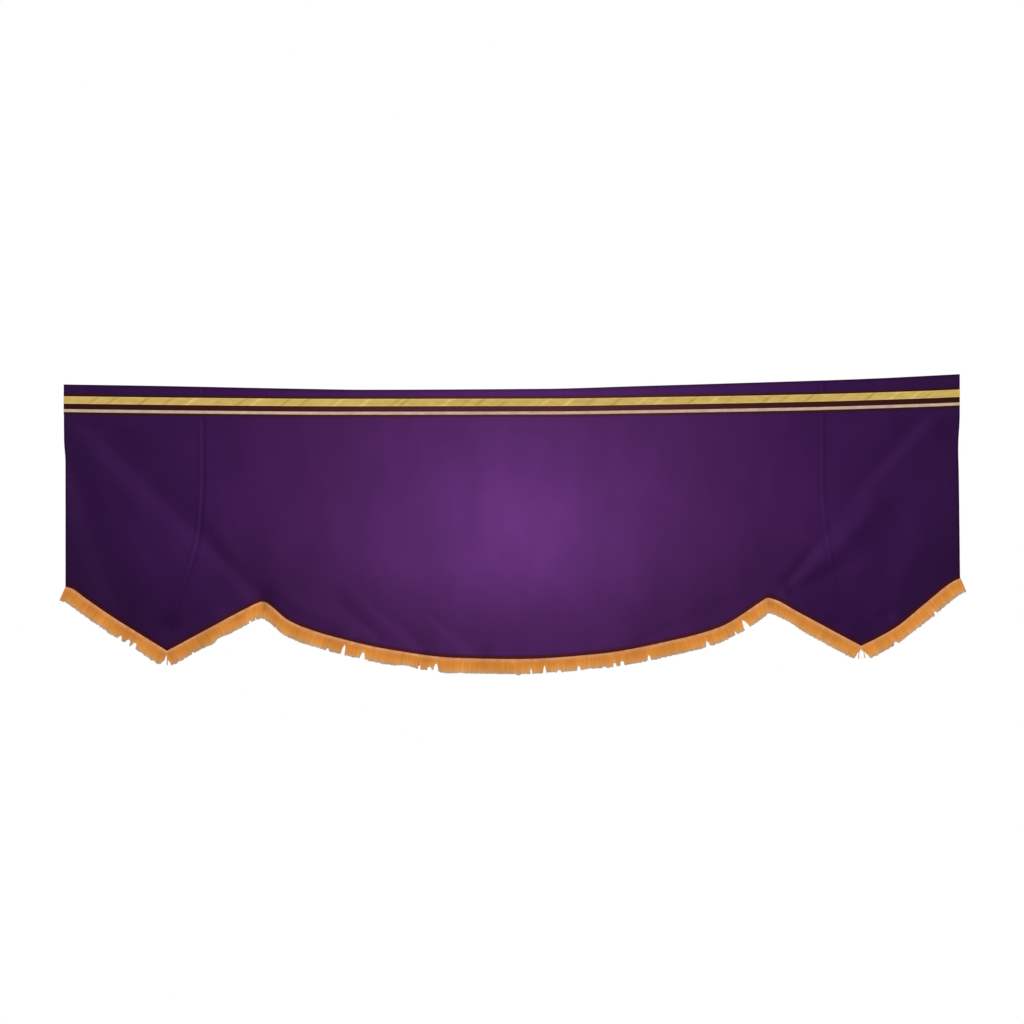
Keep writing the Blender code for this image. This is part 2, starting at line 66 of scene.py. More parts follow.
camera_data = bpy.data.cameras.new("camera")
camera_data.sensor_width = SENSOR_WIDTH
camera_data.lens = SENSOR_WIDTH * CAMERA_DISTANCE / PICTURE_WIDTH
camera = bpy.data.objects.new("camera", camera_data)
camera.location = PICTURE_CENTRE + Vector((0.0, -CAMERA_DISTANCE, 0.0))
camera.rotation_euler = (math.radians(90), 0.0, 0.0)
bpy.context.scene.collection.objects.link(camera)
bpy.context.scene.camera = camera
print("lens:", round(camera_data.lens), "mm")

# %% [markdown]
# ## Floor and light
#
# The banner hangs well above a pale round floor. The light is a studio's: a broad key from
# the left, which grazes the folds and shows them, an even white surround that fills the
# shadows, and a weaker light behind for the back of the cloth. The surround looks white to
# the camera, as a lit backdrop does, but gives less light than that.

# %% Floor
FLOOR_HEIGHT = -2.7
FLOOR_RADIUS = 3.0
FLOOR_SIDES = 128
FLOOR_COLOUR = (0.90, 0.90, 0.89, 1.0)
FLOOR_ROUGHNESS = 0.8
FLOOR_GLOW = 0.30             # the floor gives a little light itself, so it stays pale
WHITE = (1.0, 1.0, 1.0, 1.0)

floor_mesh = bpy.data.meshes.new("floor")
bm = bmesh.new()
bmesh.ops.create_circle(bm, cap_ends=True, segments=FLOOR_SIDES, radius=FLOOR_RADIUS)
bmesh.ops.translate(bm, verts=bm.verts, vec=(0.0, 0.0, FLOOR_HEIGHT))
bm.to_mesh(floor_mesh)
bm.free()
floor = bpy.data.objects.new("floor", floor_mesh)
bpy.context.scene.collection.objects.link(floor)
floor_paint = bpy.data.materials.new("pale floor")
floor_paint.use_nodes = True
floor_shader = floor_paint.node_tree.nodes["Principled BSDF"]
floor_shader.inputs["Base Color"].default_value = FLOOR_COLOUR
floor_shader.inputs["Roughness"].default_value = FLOOR_ROUGHNESS
floor_shader.inputs["Emission Color"].default_value = WHITE
floor_shader.inputs["Emission Strength"].default_value = FLOOR_GLOW
floor_mesh.materials.append(floor_paint)
print("floor at", FLOOR_HEIGHT, "m")

# %% Lamps
KEY_FROM = Vector((-0.80, -0.57, 0.17))
KEY_ENERGY = 4.0
BACK_FROM = Vector((0.50, 0.80, 0.35))
BACK_ENERGY = 2.0
LIGHT_SPREAD = math.radians(25)


def add_sun(name, source, energy):
    """A sun lamp that shines from the direction of source, with soft shadows."""
    lamp = bpy.data.lights.new(name, "SUN")
    lamp.energy = energy
    lamp.angle = LIGHT_SPREAD
    sun = bpy.data.objects.new(name, lamp)
    sun.rotation_euler = source.to_track_quat("Z", "Y").to_euler()
    bpy.context.scene.collection.objects.link(sun)


add_sun("key", KEY_FROM, KEY_ENERGY)
add_sun("back", BACK_FROM, BACK_ENERGY)
print("key", KEY_ENERGY, "back", BACK_ENERGY)

# %% White surround
FILL = 0.35

world = bpy.data.worlds.new("surround")
bpy.context.scene.world = world
world.use_nodes = True
nodes, links = world.node_tree.nodes, world.node_tree.links
surround = nodes["Background"]
surround.inputs["Strength"].default_value = FILL
surround.inputs["Color"].default_value = WHITE
backdrop = nodes.new("ShaderNodeBackground")
backdrop.inputs["Color"].default_value = WHITE
seen = nodes.new("ShaderNodeLightPath")
choose = nodes.new("ShaderNodeMixShader")
links.new(seen.outputs["Is Camera Ray"], choose.inputs["Fac"])
links.new(surround.outputs["Background"], choose.inputs[1])
links.new(backdrop.outputs["Background"], choose.inputs[2])
links.new(choose.outputs["Shader"], nodes["World Output"].inputs["Surface"])
bpy.context.scene.view_settings.view_transform = "Standard"
print("fill", FILL)

# %% [markdown]
# ## Outline of the cloth
#
# A few chosen places fix the outline: the top edge, the line of the ribbons, the hem and
# the four lines that run down the cloth. A smooth curve that never overshoots goes through
# each table. The hem is three curves, because it breaks sharply at its two points.

# %% Top edge and ribbon line
EdgePoint = namedtuple("EdgePoint", "x z")
HALF_WIDTH = 1.524
TOP_EDGE = [
    EdgePoint(-HALF_WIDTH, 0.016),
    EdgePoint(-1.200, 0.011),
    EdgePoint(-0.700, 0.001),
    EdgePoint(-0.500, -0.002),
    EdgePoint(0.100, 0.001),
    EdgePoint(0.450, 0.011),
    EdgePoint(0.750, 0.020),
    EdgePoint(1.200, 0.035),
    EdgePoint(HALF_WIDTH, 0.051),
]
RIBBON_LINE = [
    EdgePoint(-HALF_WIDTH, -0.024),
    EdgePoint(-1.100, -0.029),
    EdgePoint(-0.570, -0.033),
    EdgePoint(0.120, -0.032),
    EdgePoint(0.500, -0.027),
    EdgePoint(1.000, -0.018),
    EdgePoint(1.430, -0.005),
    EdgePoint(HALF_WIDTH, -0.001),
]
print(len(TOP_EDGE) + len(RIBBON_LINE), "places along the top")

# %% The hem, in three runs
HEM_LEFT_OUTER = [
    EdgePoint(-1.518, -0.670),
    EdgePoint(-1.495, -0.677),
    EdgePoint(-1.450, -0.709),
    EdgePoint(-1.370, -0.764),
    EdgePoint(-1.173, -0.888),
]
HEM_MIDDLE = [
    EdgePoint(-1.173, -0.888),
    EdgePoint(-0.895, -0.739),
    EdgePoint(-0.870, -0.727),
    EdgePoint(-0.850, -0.721),
    EdgePoint(-0.835, -0.724),
    EdgePoint(-0.820, -0.734),
    EdgePoint(-0.760, -0.784),
    EdgePoint(-0.700, -0.811),
    EdgePoint(-0.600, -0.842),
    EdgePoint(-0.420, -0.883),
    EdgePoint(-0.190, -0.912),
    EdgePoint(0.020, -0.916),
    EdgePoint(0.280, -0.900),
    EdgePoint(0.570, -0.847),
    EdgePoint(0.710, -0.806),
    EdgePoint(0.780, -0.766),
    EdgePoint(0.845, -0.722),
    EdgePoint(0.870, -0.708),
    EdgePoint(0.900, -0.716),
    EdgePoint(0.970, -0.754),
    EdgePoint(1.188, -0.871),
]
HEM_RIGHT_OUTER = [
    EdgePoint(1.188, -0.871),
    EdgePoint(1.245, -0.843),
    EdgePoint(1.310, -0.805),
    EdgePoint(1.400, -0.731),
    EdgePoint(1.500, -0.652),
    EdgePoint(1.525, -0.640),
]
LEFT_END_X = HEM_LEFT_OUTER[0].x
LEFT_POINT_X = HEM_MIDDLE[0].x
LEFT_NOTCH_X = -0.850
RIGHT_NOTCH_X = 0.870
RIGHT_POINT_X = HEM_MIDDLE[-1].x
RIGHT_END_X = HEM_RIGHT_OUTER[-1].x
print("hem from", LEFT_END_X, "to", RIGHT_END_X, "m")

# %% Lines that run down the cloth
DownPoint = namedtuple("DownPoint", "z x")
LEFT_SIDE = [
    DownPoint(-0.670, -1.518),
    DownPoint(-0.250, -1.518),
    DownPoint(-0.170, -1.523),
    DownPoint(0.020, -HALF_WIDTH),
]
LEFT_SEAM = [
    DownPoint(-0.888, -1.173),
    DownPoint(-0.790, -1.155),
    DownPoint(-0.650, -1.110),
    DownPoint(-0.580, -1.085),
    DownPoint(-0.465, -1.060),
    DownPoint(-0.300, -1.052),
    DownPoint(0.010, -1.052),
]
RIGHT_SEAM = [
    DownPoint(-0.871, 1.188),
    DownPoint(-0.755, 1.125),
    DownPoint(-0.685, 1.105),
    DownPoint(-0.615, 1.090),
    DownPoint(-0.480, 1.070),
    DownPoint(-0.330, 1.057),
    DownPoint(0.030, 1.057),
]
RIGHT_SIDE = [
    DownPoint(-0.640, 1.525),
    DownPoint(-0.300, 1.521),
    DownPoint(-0.200, 1.519),
    DownPoint(-0.085, HALF_WIDTH),
    DownPoint(0.055, HALF_WIDTH),
]
DOWN_LINES = (LEFT_SIDE, LEFT_SEAM, RIGHT_SEAM, RIGHT_SIDE)
print(len(DOWN_LINES), "lines run down the cloth")


# %% Smooth curves through the tables
def smooth_curve(rows):
    """A function that passes through rows of (place, value) and never overshoots."""
    places = [row[0] for row in rows]
    values = [row[1] for row in rows]
    last = len(rows) - 1
    slopes = [(values[i + 1] - values[i]) / (places[i + 1] - places[i]) for i in range(last)]
    tangents = [slopes[0]]
    for before, after in zip(slopes, slopes[1:]):
        turns_back = before * after <= 0
        tangents.append(0.0 if turns_back else 2 * before * after / (before + after))
    tangents.append(slopes[-1])

    def value(place):
        if place <= places[0]:
            return values[0]
        if place >= places[last]:
            return values[last]
        i = bisect_right(places, place) - 1
        span = places[i + 1] - places[i]
        t = (place - places[i]) / span
        return ((2 * t ** 3 - 3 * t ** 2 + 1) * values[i]
                + (t ** 3 - 2 * t ** 2 + t) * span * tangents[i]
                + (3 * t ** 2 - 2 * t ** 3) * values[i + 1]
                + (t ** 3 - t ** 2) * span * tangents[i + 1])

    return value


def smooth_step(t):
    """Rise gently from 0 to 1 while t goes from 0 to 1."""
    t = min(1.0, max(0.0, t))
    return t * t * (3 - 2 * t)


def bell(distance, width):
    """1 at no distance, and close to 0 beyond twice the width."""
    return math.exp(-(distance / width) ** 2)


top_z = smooth_curve(TOP_EDGE)
ribbon_z = smooth_curve(RIBBON_LINE)
hem_left_z = smooth_curve(HEM_LEFT_OUTER)
hem_middle_z = smooth_curve(HEM_MIDDLE)
hem_right_z = smooth_curve(HEM_RIGHT_OUTER)


def hem_z(x):
    """Height of the lower edge of the cloth."""
    if x <= LEFT_POINT_X:
        return hem_left_z(x)
    if x >= RIGHT_POINT_X:
        return hem_right_z(x)
    return hem_middle_z(x)


print("cloth:", round(2 * HALF_WIDTH, 3), "m wide, lowest place",
      min(place.z for place in HEM_MIDDLE), "m")

# %% [markdown]
# ## The drape
#
# The cloth is held taut from end to end, so it hangs almost flat. Its weight pulls broad
# drag folds from the top corners down to the notches in the hem. Each fold is one row: the
# line of its crest or groove, its width at both ends, how many times wider its lower flank
# is, and how far each end stands forward. The same rows shape the solids of the frame, so
# the fine cloth lies in the space that they hold. Two slow waves run along the whole
# banner. The face looks towards -Y.

# %% Folds and waves
Fold = namedtuple("Fold", "name x1 z1 x2 z2 width1 width2 flank forward1 forward2")
FOLDS = [
    Fold("left drag crest", -1.45, -0.12, -0.87, -0.69, 0.075, 0.055, 0.5, 0.016, 0.018),
    Fold("left drag groove", -1.35, -0.16, -0.90, -0.63, 0.080, 0.030, 2.4, -0.004, -0.008),
    Fold("left lower hollow", -1.46, -0.17, -1.10, -0.65, 0.030, 0.080, 2.0, -0.008, -0.009),
    Fold("left edge crest", -1.51, -0.24, -1.34, -0.74, 0.040, 0.080, 0.7, 0.005, 0.008),
    Fold("left point hollow", -1.19, -0.78, -1.01, -0.76, 0.025, 0.025, 1.5, -0.009, -0.008),
    Fold("left notch hollow", -0.83, -0.68, -0.56, -0.82, 0.035, 0.030, 1.0, -0.010, -0.008),
    Fold("right drag crest", 1.47, -0.07, 1.12, -0.47, 0.020, 0.045, 3.0, 0.016, 0.012),
    Fold("right low drag crest", 1.17, -0.46, 0.93, -0.69, 0.035, 0.018, 1.5, 0.007, 0.009),
    Fold("right upper groove", 1.42, -0.09, 0.95, -0.65, 0.055, 0.020, 1.3, -0.009, -0.007),
    Fold("right lower groove", 1.48, -0.14, 1.11, -0.64, 0.060, 0.080, 1.0, -0.006, -0.007),
    Fold("right notch crest", 0.95, -0.72, 1.15, -0.64, 0.025, 0.020, 2.0, 0.006, 0.003),
    Fold("right notch groove", 1.15, -0.60, 0.90, -0.71, 0.030, 0.020, 1.2, -0.007, -0.005),
    Fold("right point groove", 1.36, -0.46, 1.25, -0.75, 0.090, 0.070, 0.5, -0.009, -0.008),
    Fold("right low crest", 1.38, -0.50, 1.25, -0.75, 0.060, 0.040, 0.8, 0.002, 0.007),
    Fold("middle belly", -0.35, -0.56, 0.35, -0.56, 0.300, 0.300, 1.0, 0.006, 0.006),
]
FOLD_END_FADE = 0.22          # share of a fold's length over which it rises at its upper end
FOLD_FADE = 0.06              # folds reach their full depth this far below the trim
TAPE_DROP = -0.008
TAPE_WIDTH = 0.070
TRIM_FOOT_MARGIN = 0.004      # cloth stays flat this far below the trim
TRIM_FOOT = TAPE_DROP + TAPE_WIDTH + TRIM_FOOT_MARGIN
Wave = namedtuple("Wave", "length phase forward")
TOP_WAVES = [
    Wave(2.10, 0.35, 0.0035),
    Wave(1.15, 1.70, 0.0015),
]
print(len(FOLDS), "folds and", len(TOP_WAVES), "waves")


# %% Depth of the drape
def fold_forward(fold, x, z):
    """How far one fold brings the cloth forward at a place."""
    run_x, run_z = fold.x2 - fold.x1, fold.z2 - fold.z1
    run = math.hypot(run_x, run_z)
    along = ((x - fold.x1) * run_x + (z - fold.z1) * run_z) / run ** 2
    across = (run_x * (z - fold.z1) - run_z * (x - fold.x1)) / run
    share = min(1.0, max(0.0, along))
    width = fold.width1 + (fold.width2 - fold.width1) * share
    forward = fold.forward1 + (fold.forward2 - fold.forward1) * share
    rise = smooth_step((along + FOLD_END_FADE) / (2 * FOLD_END_FADE))
    fall = bell(max(0.0, along - 1.0) * run, width * max(1.0, fold.flank))
    if across * run_x < 0:
        width *= fold.flank
    return forward * rise * fall * bell(across, width)


def below_trim(x, z):
    """0 along the trim, and 1 where the folds have their full depth."""
    return smooth_step((ribbon_z(x) - TRIM_FOOT - z) / FOLD_FADE)


def drape_forward(x, z):
    """How far the middle of the cloth stands forward at a place."""
    forward = sum(wave.forward * math.cos(2 * math.pi * x / wave.length + wave.phase)
                  for wave in TOP_WAVES)
    share = below_trim(x, z)
    if share > 0:
        forward += share * sum(fold_forward(fold, x, z) for fold in FOLDS)
    return forward


print("the middle stands", round(1000 * drape_forward(0.0, -0.56)), "mm forward")

# %% [markdown]
# ## Fine relief
#
# Up close the cloth does more than the solids show. Small creases cross the foot of the
# middle panel and lie beside the drag folds and above the points. Each seam is a welt: the
# allowances behind it push a ridge forward, with a shallow furrow on both sides and a fine
# slit where the panels meet. The thread draws up small puckers beside it, and the whole
# cloth ripples by a millimetre.

# %% Creases
CREASES = [
    Fold("left seam groove", -1.02, -0.46, -0.95, -0.56, 0.030, 0.040, 0.7, -0.004, -0.004),
    Fold("left second crest", -1.37, -0.34, -1.19, -0.62, 0.025, 0.030, 1.0, 0.001, 0.002),
    Fold("right point arc", 1.09, -0.78, 1.28, -0.78, 0.020, 0.020, 1.0, -0.008, -0.008),
    Fold("long crease", -0.48, -0.74, -0.31, -0.88, 0.020, 0.030, 0.7, 0.004, 0.006),
    Fold("long groove", -0.56, -0.69, -0.35, -0.86, 0.020, 0.015, 1.0, -0.003, -0.003),
    Fold("outer crease", -0.61, -0.72, -0.46, -0.84, 0.025, 0.020, 0.5, 0.004, 0.006),
    Fold("inner crease", -0.28, -0.77, -0.12, -0.90, 0.015, 0.050, 0.5, 0.004, 0.006),
    Fold("right swell", 0.52, -0.63, 0.37, -0.78, 0.100, 0.100, 0.6, 0.002, 0.005),
    Fold("right flank hollow", 0.82, -0.71, 0.45, -0.85, 0.030, 0.020, 2.0, -0.006, -0.006),
    Fold("left shoulder", -1.40, -0.08, -1.12, -0.34, 0.060, 0.060, 1.0, 0.006, 0.003),
    Fold("right crest foot", 1.25, -0.38, 1.16, -0.50, 0.028, 0.032, 2.5, 0.006, 0.008),
    Fold("right notch shade", 1.03, -0.54, 0.94, -0.66, 0.020, 0.018, 1.0, -0.002, -0.002),
    Fold("left point band", -1.15, -0.79, -0.99, -0.79, 0.020, 0.020, 1.5, -0.010, -0.008),
]
print(len(CREASES), "creases")

# %% Seam welts and ripples
WELT_HEIGHT = 0.0016
WELT_WIDTH = 0.0042
FURROW_DEPTH = 0.0006
FURROW_PLACE = 0.0110
FURROW_WIDTH = 0.0040
SLIT_DEPTH = 0.0010
SLIT_WIDTH = 0.0007
PUCKER_LENGTH = 0.016
PUCKER_HEIGHT = 0.0003
PUCKER_REACH = 0.020
RIPPLE_HEIGHT = 0.0008
RIPPLE_SCALE = 4.5
RIPPLE_STRETCH = 0.3          # ripples run down the cloth
WELT_FADE = 0.006
SEAM_FADE_TOP = -0.56
SEAM_FADE_LENGTH = 0.10
LEFT_SEAM_SHOW = 0.85
RIGHT_SEAM_SHOW = 0.5
LOW_SEAM_SHOW = 0.30

line_x = {id(rows): smooth_curve(rows) for rows in DOWN_LINES}


def seam_distance(x, z):
    """Distance along the width to the nearer seam."""
    return min(abs(x - line_x[id(seam)](z)) for seam in (LEFT_SEAM, RIGHT_SEAM))


def clear_of_trim(x, z):
    """1 away from the trim and 0 under it, where the seam is pressed flat."""
    below = ribbon_z(x) - z
    above_it = smooth_step((TAPE_DROP - below) / WELT_FADE)
    below_it = smooth_step((below - TRIM_FOOT) / WELT_FADE)
    return above_it + below_it


def seam_show(x, z):
    """How strongly a seam shows: the left one more, and both fade towards the hem."""
    show = LEFT_SEAM_SHOW if x < 0 else RIGHT_SEAM_SHOW
    faded = smooth_step((SEAM_FADE_TOP - z) / SEAM_FADE_LENGTH)
    return show * (1 - (1 - LOW_SEAM_SHOW) * faded) * clear_of_trim(x, z)


def fine_forward(x, z):
    """Welts, puckers, creases and ripples, on top of the drape."""
    distance = seam_distance(x, z)
    welt = (WELT_HEIGHT * bell(distance, WELT_WIDTH)
            - FURROW_DEPTH * bell(distance - FURROW_PLACE, FURROW_WIDTH)
            - SLIT_DEPTH * bell(distance, SLIT_WIDTH))
    pucker = (PUCKER_HEIGHT * math.sin(2 * math.pi * z / PUCKER_LENGTH)
              * bell(distance, PUCKER_REACH))
    creases = sum(fold_forward(crease, x, z) for crease in CREASES)
    spot = Vector((x, RIPPLE_STRETCH * z, 0.0))
    ripple = RIPPLE_HEIGHT * noise.noise(spot * RIPPLE_SCALE)
    return (welt + pucker) * seam_show(x, z) + below_trim(x, z) * (creases + ripple)


print("welt", 1000 * WELT_HEIGHT, "mm high")

# %% [markdown]
# ## Sheets
#
# Every layer of the banner is a sheet: a grid whose vertices are put in their places, then
# extruded straight back for its thickness. That keeps layers that lie on each other
# parallel. `add_sheet` adds one to a bmesh, so that a panel and its turned hems can be one
# piece of cloth.

# %% Helpers for sheets and pieces
SMOOTH_ANGLE = math.radians(50)


def add_sheet(bm, columns, rows, place, thickness):
    """Add a sheet of columns by rows cells, whose front vertices go where place(i, j) says."""
    sheet = bmesh.new()
    bmesh.ops.create_grid(sheet, x_segments=columns, y_segments=rows, size=0.5)
    for vert in sheet.verts:
        i = round((vert.co.x + 0.5) * columns)
        j = round((0.5 - vert.co.y) * rows)
        vert.co = place(i, j)
    back = bmesh.ops.extrude_face_region(sheet, geom=sheet.faces[:])
    moved = [item for item in back["geom"] if isinstance(item, bmesh.types.BMVert)]
    bmesh.ops.translate(sheet, verts=moved, vec=(0.0, thickness, 0.0))
    bmesh.ops.recalc_face_normals(sheet, faces=sheet.faces[:])
    carrier = bpy.data.meshes.new("sheet")
    sheet.to_mesh(carrier)
    sheet.free()
    bm.from_mesh(carrier)
    bpy.data.meshes.remove(carrier)


def make_piece(name, mesh, slot_name, *materials):
    """Put a finished mesh in the scene as a piece that hangs with the banner."""
    for material in materials:
        mesh.materials.append(material)
    mesh.shade_smooth()
    mesh.set_sharp_from_angle(angle=SMOOTH_ANGLE)
    piece = bpy.data.objects.new(name, mesh)
    bpy.context.scene.collection.objects.link(piece)
    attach(piece, "root")
    print(name, len(mesh.polygons), "faces")
    return piece


def to_mesh(bm, name):
    """Turn a finished bmesh into a named mesh."""
    mesh = bpy.data.meshes.new(name)
    bm.to_mesh(mesh)
    bm.free()
    return mesh


def new_marks(mesh, *names):
    """Values for each vertex of a mesh, which a finish can read by their names."""
    for name in names:
        mesh.attributes.new(name, "FLOAT", "POINT")
    return [mesh.attributes[name].data for name in names]


print("edges sharper than", round(math.degrees(SMOOTH_ANGLE)), "degrees stay crisp")

# %% [markdown]
# ## The purple cloth's finish
#
# The cloth is a matt purple weave. Its colour carries a painted pool of light: lighter in the
# middle of the banner and darker towards the ends, which is a round gradient on the object's
# own coordinates, run through a ramp. Two crossed waves make the weave. The welts are rubbed a
# little lighter, with painted shade in the furrows beside them, and painted shade darkens the
# turned edges and the foot of the cloth. All three are attributes of the mesh.

# %% A finish and where it reads from
def new_material(name, roughness, specular, sheen):
    """A cloth-like material, with its node tree's nodes and links."""
    material = bpy.data.materials.new(name)
    material.use_nodes = True
    tree = material.node_tree
    shader = tree.nodes["Principled BSDF"]
    shader.inputs["Roughness"].default_value = roughness
    shader.inputs["Specular IOR Level"].default_value = specular
    shader.inputs["Sheen Weight"].default_value = sheen
    return material, tree.nodes, tree.links, shader


def glow_gradient(nodes, links, centre, reach):
    """1 at the centre and 0 at the reach: a round gradient on the object's coordinates."""
    place = nodes.new("ShaderNodeTexCoord")
    mapping = nodes.new("ShaderNodeMapping")
    mapping.inputs["Scale"].default_value = (1 / reach, 1 / reach, 1 / reach)
    mapping.inputs["Location"].default_value = tuple(-c / reach for c in centre)
    gradient = nodes.new("ShaderNodeTexGradient")
    gradient.gradient_type = "SPHERICAL"
    links.new(place.outputs["Object"], mapping.inputs["Vector"])
    links.new(mapping.outputs["Vector"], gradient.inputs["Vector"])
    return gradient.outputs["Fac"], place.outputs["Object"]


def object_place(nodes):
    """A place on the piece in the object's own coordinates, which don't slide or turn."""
    return nodes.new("ShaderNodeTexCoord").outputs["Object"]


def read_mark(nodes, name):
    """The value that the mesh holds under a name."""
    mark = nodes.new("ShaderNodeAttribute")
    mark.attribute_name = name
    return mark.outputs["Fac"]


print("finishes read the object's coordinates and marks on its mesh")

# %% Colour, threads and bump
NOISE_DETAIL = 3.0
WAVE_FACTOR = 20.0            # the Wave node multiplies a place by this before its sine


def colour_ramp(nodes, links, factor, stops):
    """A ramp through (position, linear colour) stops."""
    ramp = nodes.new("ShaderNodeValToRGB")
    ramp.color_ramp.interpolation = "EASE" if len(stops) == 2 else "LINEAR"
    while len(ramp.color_ramp.elements) < len(stops):
        ramp.color_ramp.elements.new(0.5)
    for element, (position, colour) in zip(ramp.color_ramp.elements, stops):
        element.position = position
        element.color = (*colour, 1.0)
    links.new(factor, ramp.inputs["Fac"])
    return ramp.outputs["Color"]


def tint(nodes, links, colour, factor, stops):
    """A colour times the colour that a ramp gives to a factor."""
    shade = colour_ramp(nodes, links, factor, stops)
    mix = nodes.new("ShaderNodeMix")
    mix.data_type = "RGBA"
    mix.blend_type = "MULTIPLY"
    mix.inputs["Factor"].default_value = 1.0
    links.new(colour, mix.inputs["A"])
    links.new(shade, mix.inputs["B"])
    return mix.outputs["Result"]


def thread_wave(nodes, links, place, direction, period):
    """Rows of threads across one direction, as a wave with the given period."""
    wave = nodes.new("ShaderNodeTexWave")
    wave.bands_direction = direction
    wave.inputs["Scale"].default_value = 2 * math.pi / (WAVE_FACTOR * period)
    links.new(place, wave.inputs["Vector"])
    return wave.outputs["Fac"]


def add_bump(nodes, links, shader, height, distance, strength):
    """Raise the surface by a height from 0 to 1, over a distance in metres."""
    bump = nodes.new("ShaderNodeBump")
    bump.inputs["Distance"].default_value = distance
    bump.inputs["Strength"].default_value = strength
    links.new(height, bump.inputs["Height"])
    links.new(bump.outputs["Normal"], shader.inputs["Normal"])


def soft_noise(nodes, links, place, scale, stretch=(1.0, 1.0, 1.0), turn=0.0):
    """Cloudy noise, stretched along the axes after a turn in the banner's plane."""
    mapping = nodes.new("ShaderNodeMapping")
    mapping.inputs["Rotation"].default_value = (0.0, turn, 0.0)
    mapping.inputs["Scale"].default_value = stretch
    clouds = nodes.new("ShaderNodeTexNoise")
    clouds.inputs["Scale"].default_value = scale
    clouds.inputs["Detail"].default_value = NOISE_DETAIL
    links.new(place, mapping.inputs["Vector"])
    links.new(mapping.outputs["Vector"], clouds.inputs["Vector"])
    return clouds.outputs["Fac"]


print("noise detail", NOISE_DETAIL)

# %% Purple cloth
# Centre and reach of a painted pool of light: the purple is lighter in the middle of the banner
# and darker towards its ends.
GLOW_CENTRE = (0.030, 0.0, -0.464)
GLOW_REACH = 1.70
PURPLE_GLOW = [
    (0.10, (0.024, 0.005, 0.042)),
    (0.35, (0.032, 0.006, 0.055)),
    (0.60, (0.052, 0.011, 0.077)),
    (0.80, (0.078, 0.018, 0.115)),
    (1.00, (0.125, 0.030, 0.180)),
]
WEAVE_PERIOD = 0.0024

purple, nodes, links, shader = new_material("purple cloth", roughness=0.75, specular=0.04,
                                            sheen=0.0)
glow, place = glow_gradient(nodes, links, GLOW_CENTRE, GLOW_REACH)
purple_with_painted_light = colour_ramp(nodes, links, glow, PURPLE_GLOW)
mottle = soft_noise(nodes, links, place, scale=9.0, stretch=(1.0, 1.0, 0.5))
purple_with_painted_light = tint(nodes, links, purple_with_painted_light, mottle, [
    (0.30, (0.94, 0.94, 0.94)),
    (0.70, (1.05, 1.05, 1.05)),
])
PLAIN = (1.0, 1.0, 1.0)
TINTS = {
    # Seams: the welt is rubbed lighter, and painted shade darkens the furrows beside it.
    "seam": [(0.0, (0.80, 0.80, 0.80)), (0.5, PLAIN), (1.0, (1.24, 1.28, 1.22))],
    # Painted shade along the turned top and side edges.
    "turned": [(0.0, PLAIN), (1.0, (0.62, 0.58, 0.62))],
    # Painted shade that darkens the foot of the cloth towards the hem.
    "low": [(0.0, PLAIN), (1.0, (0.76, 0.75, 0.75))],
}
for name, stops in TINTS.items():
    purple_with_painted_light = tint(nodes, links, purple_with_painted_light, read_mark(nodes, name), stops)
links.new(purple_with_painted_light, shader.inputs["Base Color"])
weave = nodes.new("ShaderNodeMath")
weave.operation = "MULTIPLY"
for socket, direction in zip(weave.inputs, "XZ"):
    links.new(thread_wave(nodes, links, place, direction, WEAVE_PERIOD), socket)
add_bump(nodes, links, shader, weave.outputs["Value"], distance=0.0003, strength=0.25)
print("purple cloth: weave", 1000 * WEAVE_PERIOD, "mm")

# %% [markdown]
# ## The three cloth panels
#
# A place on a panel is given by how far it is across, between its two side lines, and how
# far down, between the top edge and the hem. The columns crowd together beside a seam, where
# the welt is narrow. The turned hems at the sides, top and foot and the seam allowances are
# strips of the same cloth on the back, and belong to their panel.

# %% Cutting plan of the panels
Panel = namedtuple("Panel", "name node left right left_gap right_gap left_start left_hem "
                            "right_start right_hem columns")
SEAM_GAP = 0.0004
ALLOWANCE = 0.014             # width of a seam allowance on the back
OVERLAP = 0.003               # how far the middle panel's allowance reaches across the seam
CLEAR = OVERLAP + 0.0005      # the side panels' allowances start this far from the seam
LEFT_HEM = 0.020
RIGHT_HEM = 0.030
PANELS = [
    Panel("cloth_left", "panel_left", LEFT_SIDE, LEFT_SEAM, 0.0, SEAM_GAP / 2,
          0.0, LEFT_HEM, CLEAR, ALLOWANCE, 54),
    Panel("cloth_centre", "panel_centre", LEFT_SEAM, RIGHT_SEAM, SEAM_GAP / 2, SEAM_GAP / 2,
          -OVERLAP, ALLOWANCE, -OVERLAP, ALLOWANCE, 270),
    Panel("cloth_right", "panel_right", RIGHT_SEAM, RIGHT_SIDE, SEAM_GAP / 2, 0.0,
          CLEAR, ALLOWANCE, 0.0, RIGHT_HEM, 54),
]
CLOTH_ROWS = 104
EDGE_STEPS = (0.0, 0.0012, 0.0025, 0.0040, 0.0060, 0.0090, 0.0130)
print(len(PANELS), "panels")


# %% Places on a panel
def between(a, b, share):
    """What lies between a and b, at a share from 0 to 1."""
    return a + (b - a) * share


def panel_place(panel, across, down):
    """Place in the banner's plane: across and down the panel, each from 0 to 1."""
    left, right = panel.left, panel.right
    foot = hem_z(between(left[0].x, right[0].x, across))
    top = top_z(between(left[-1].x, right[-1].x, across))
    z = between(top, foot, down)
    left_z = between(top_z(left[-1].x), left[0].z, down)
    right_z = between(top_z(right[-1].x), right[0].z, down)
    left_x = line_x[id(left)](left_z) + panel.left_gap
    right_x = line_x[id(right)](right_z) - panel.right_gap
    return between(left_x, right_x, across), z


def panel_width(panel):
    """Width of a panel at its top edge."""
    return panel.right[-1].x - panel.left[-1].x


def panel_columns(panel):
    """Where the columns stand across a panel: close together at its edges."""
    steps = [step / panel_width(panel) for step in EDGE_STEPS]
    first = steps[-1]
    inner = [between(first, 1 - first, k / panel.columns) for k in range(panel.columns + 1)]
    return steps[:-1] + inner + [1 - step for step in reversed(steps[:-1])]


print([len(panel_columns(panel)) for panel in PANELS], "columns")

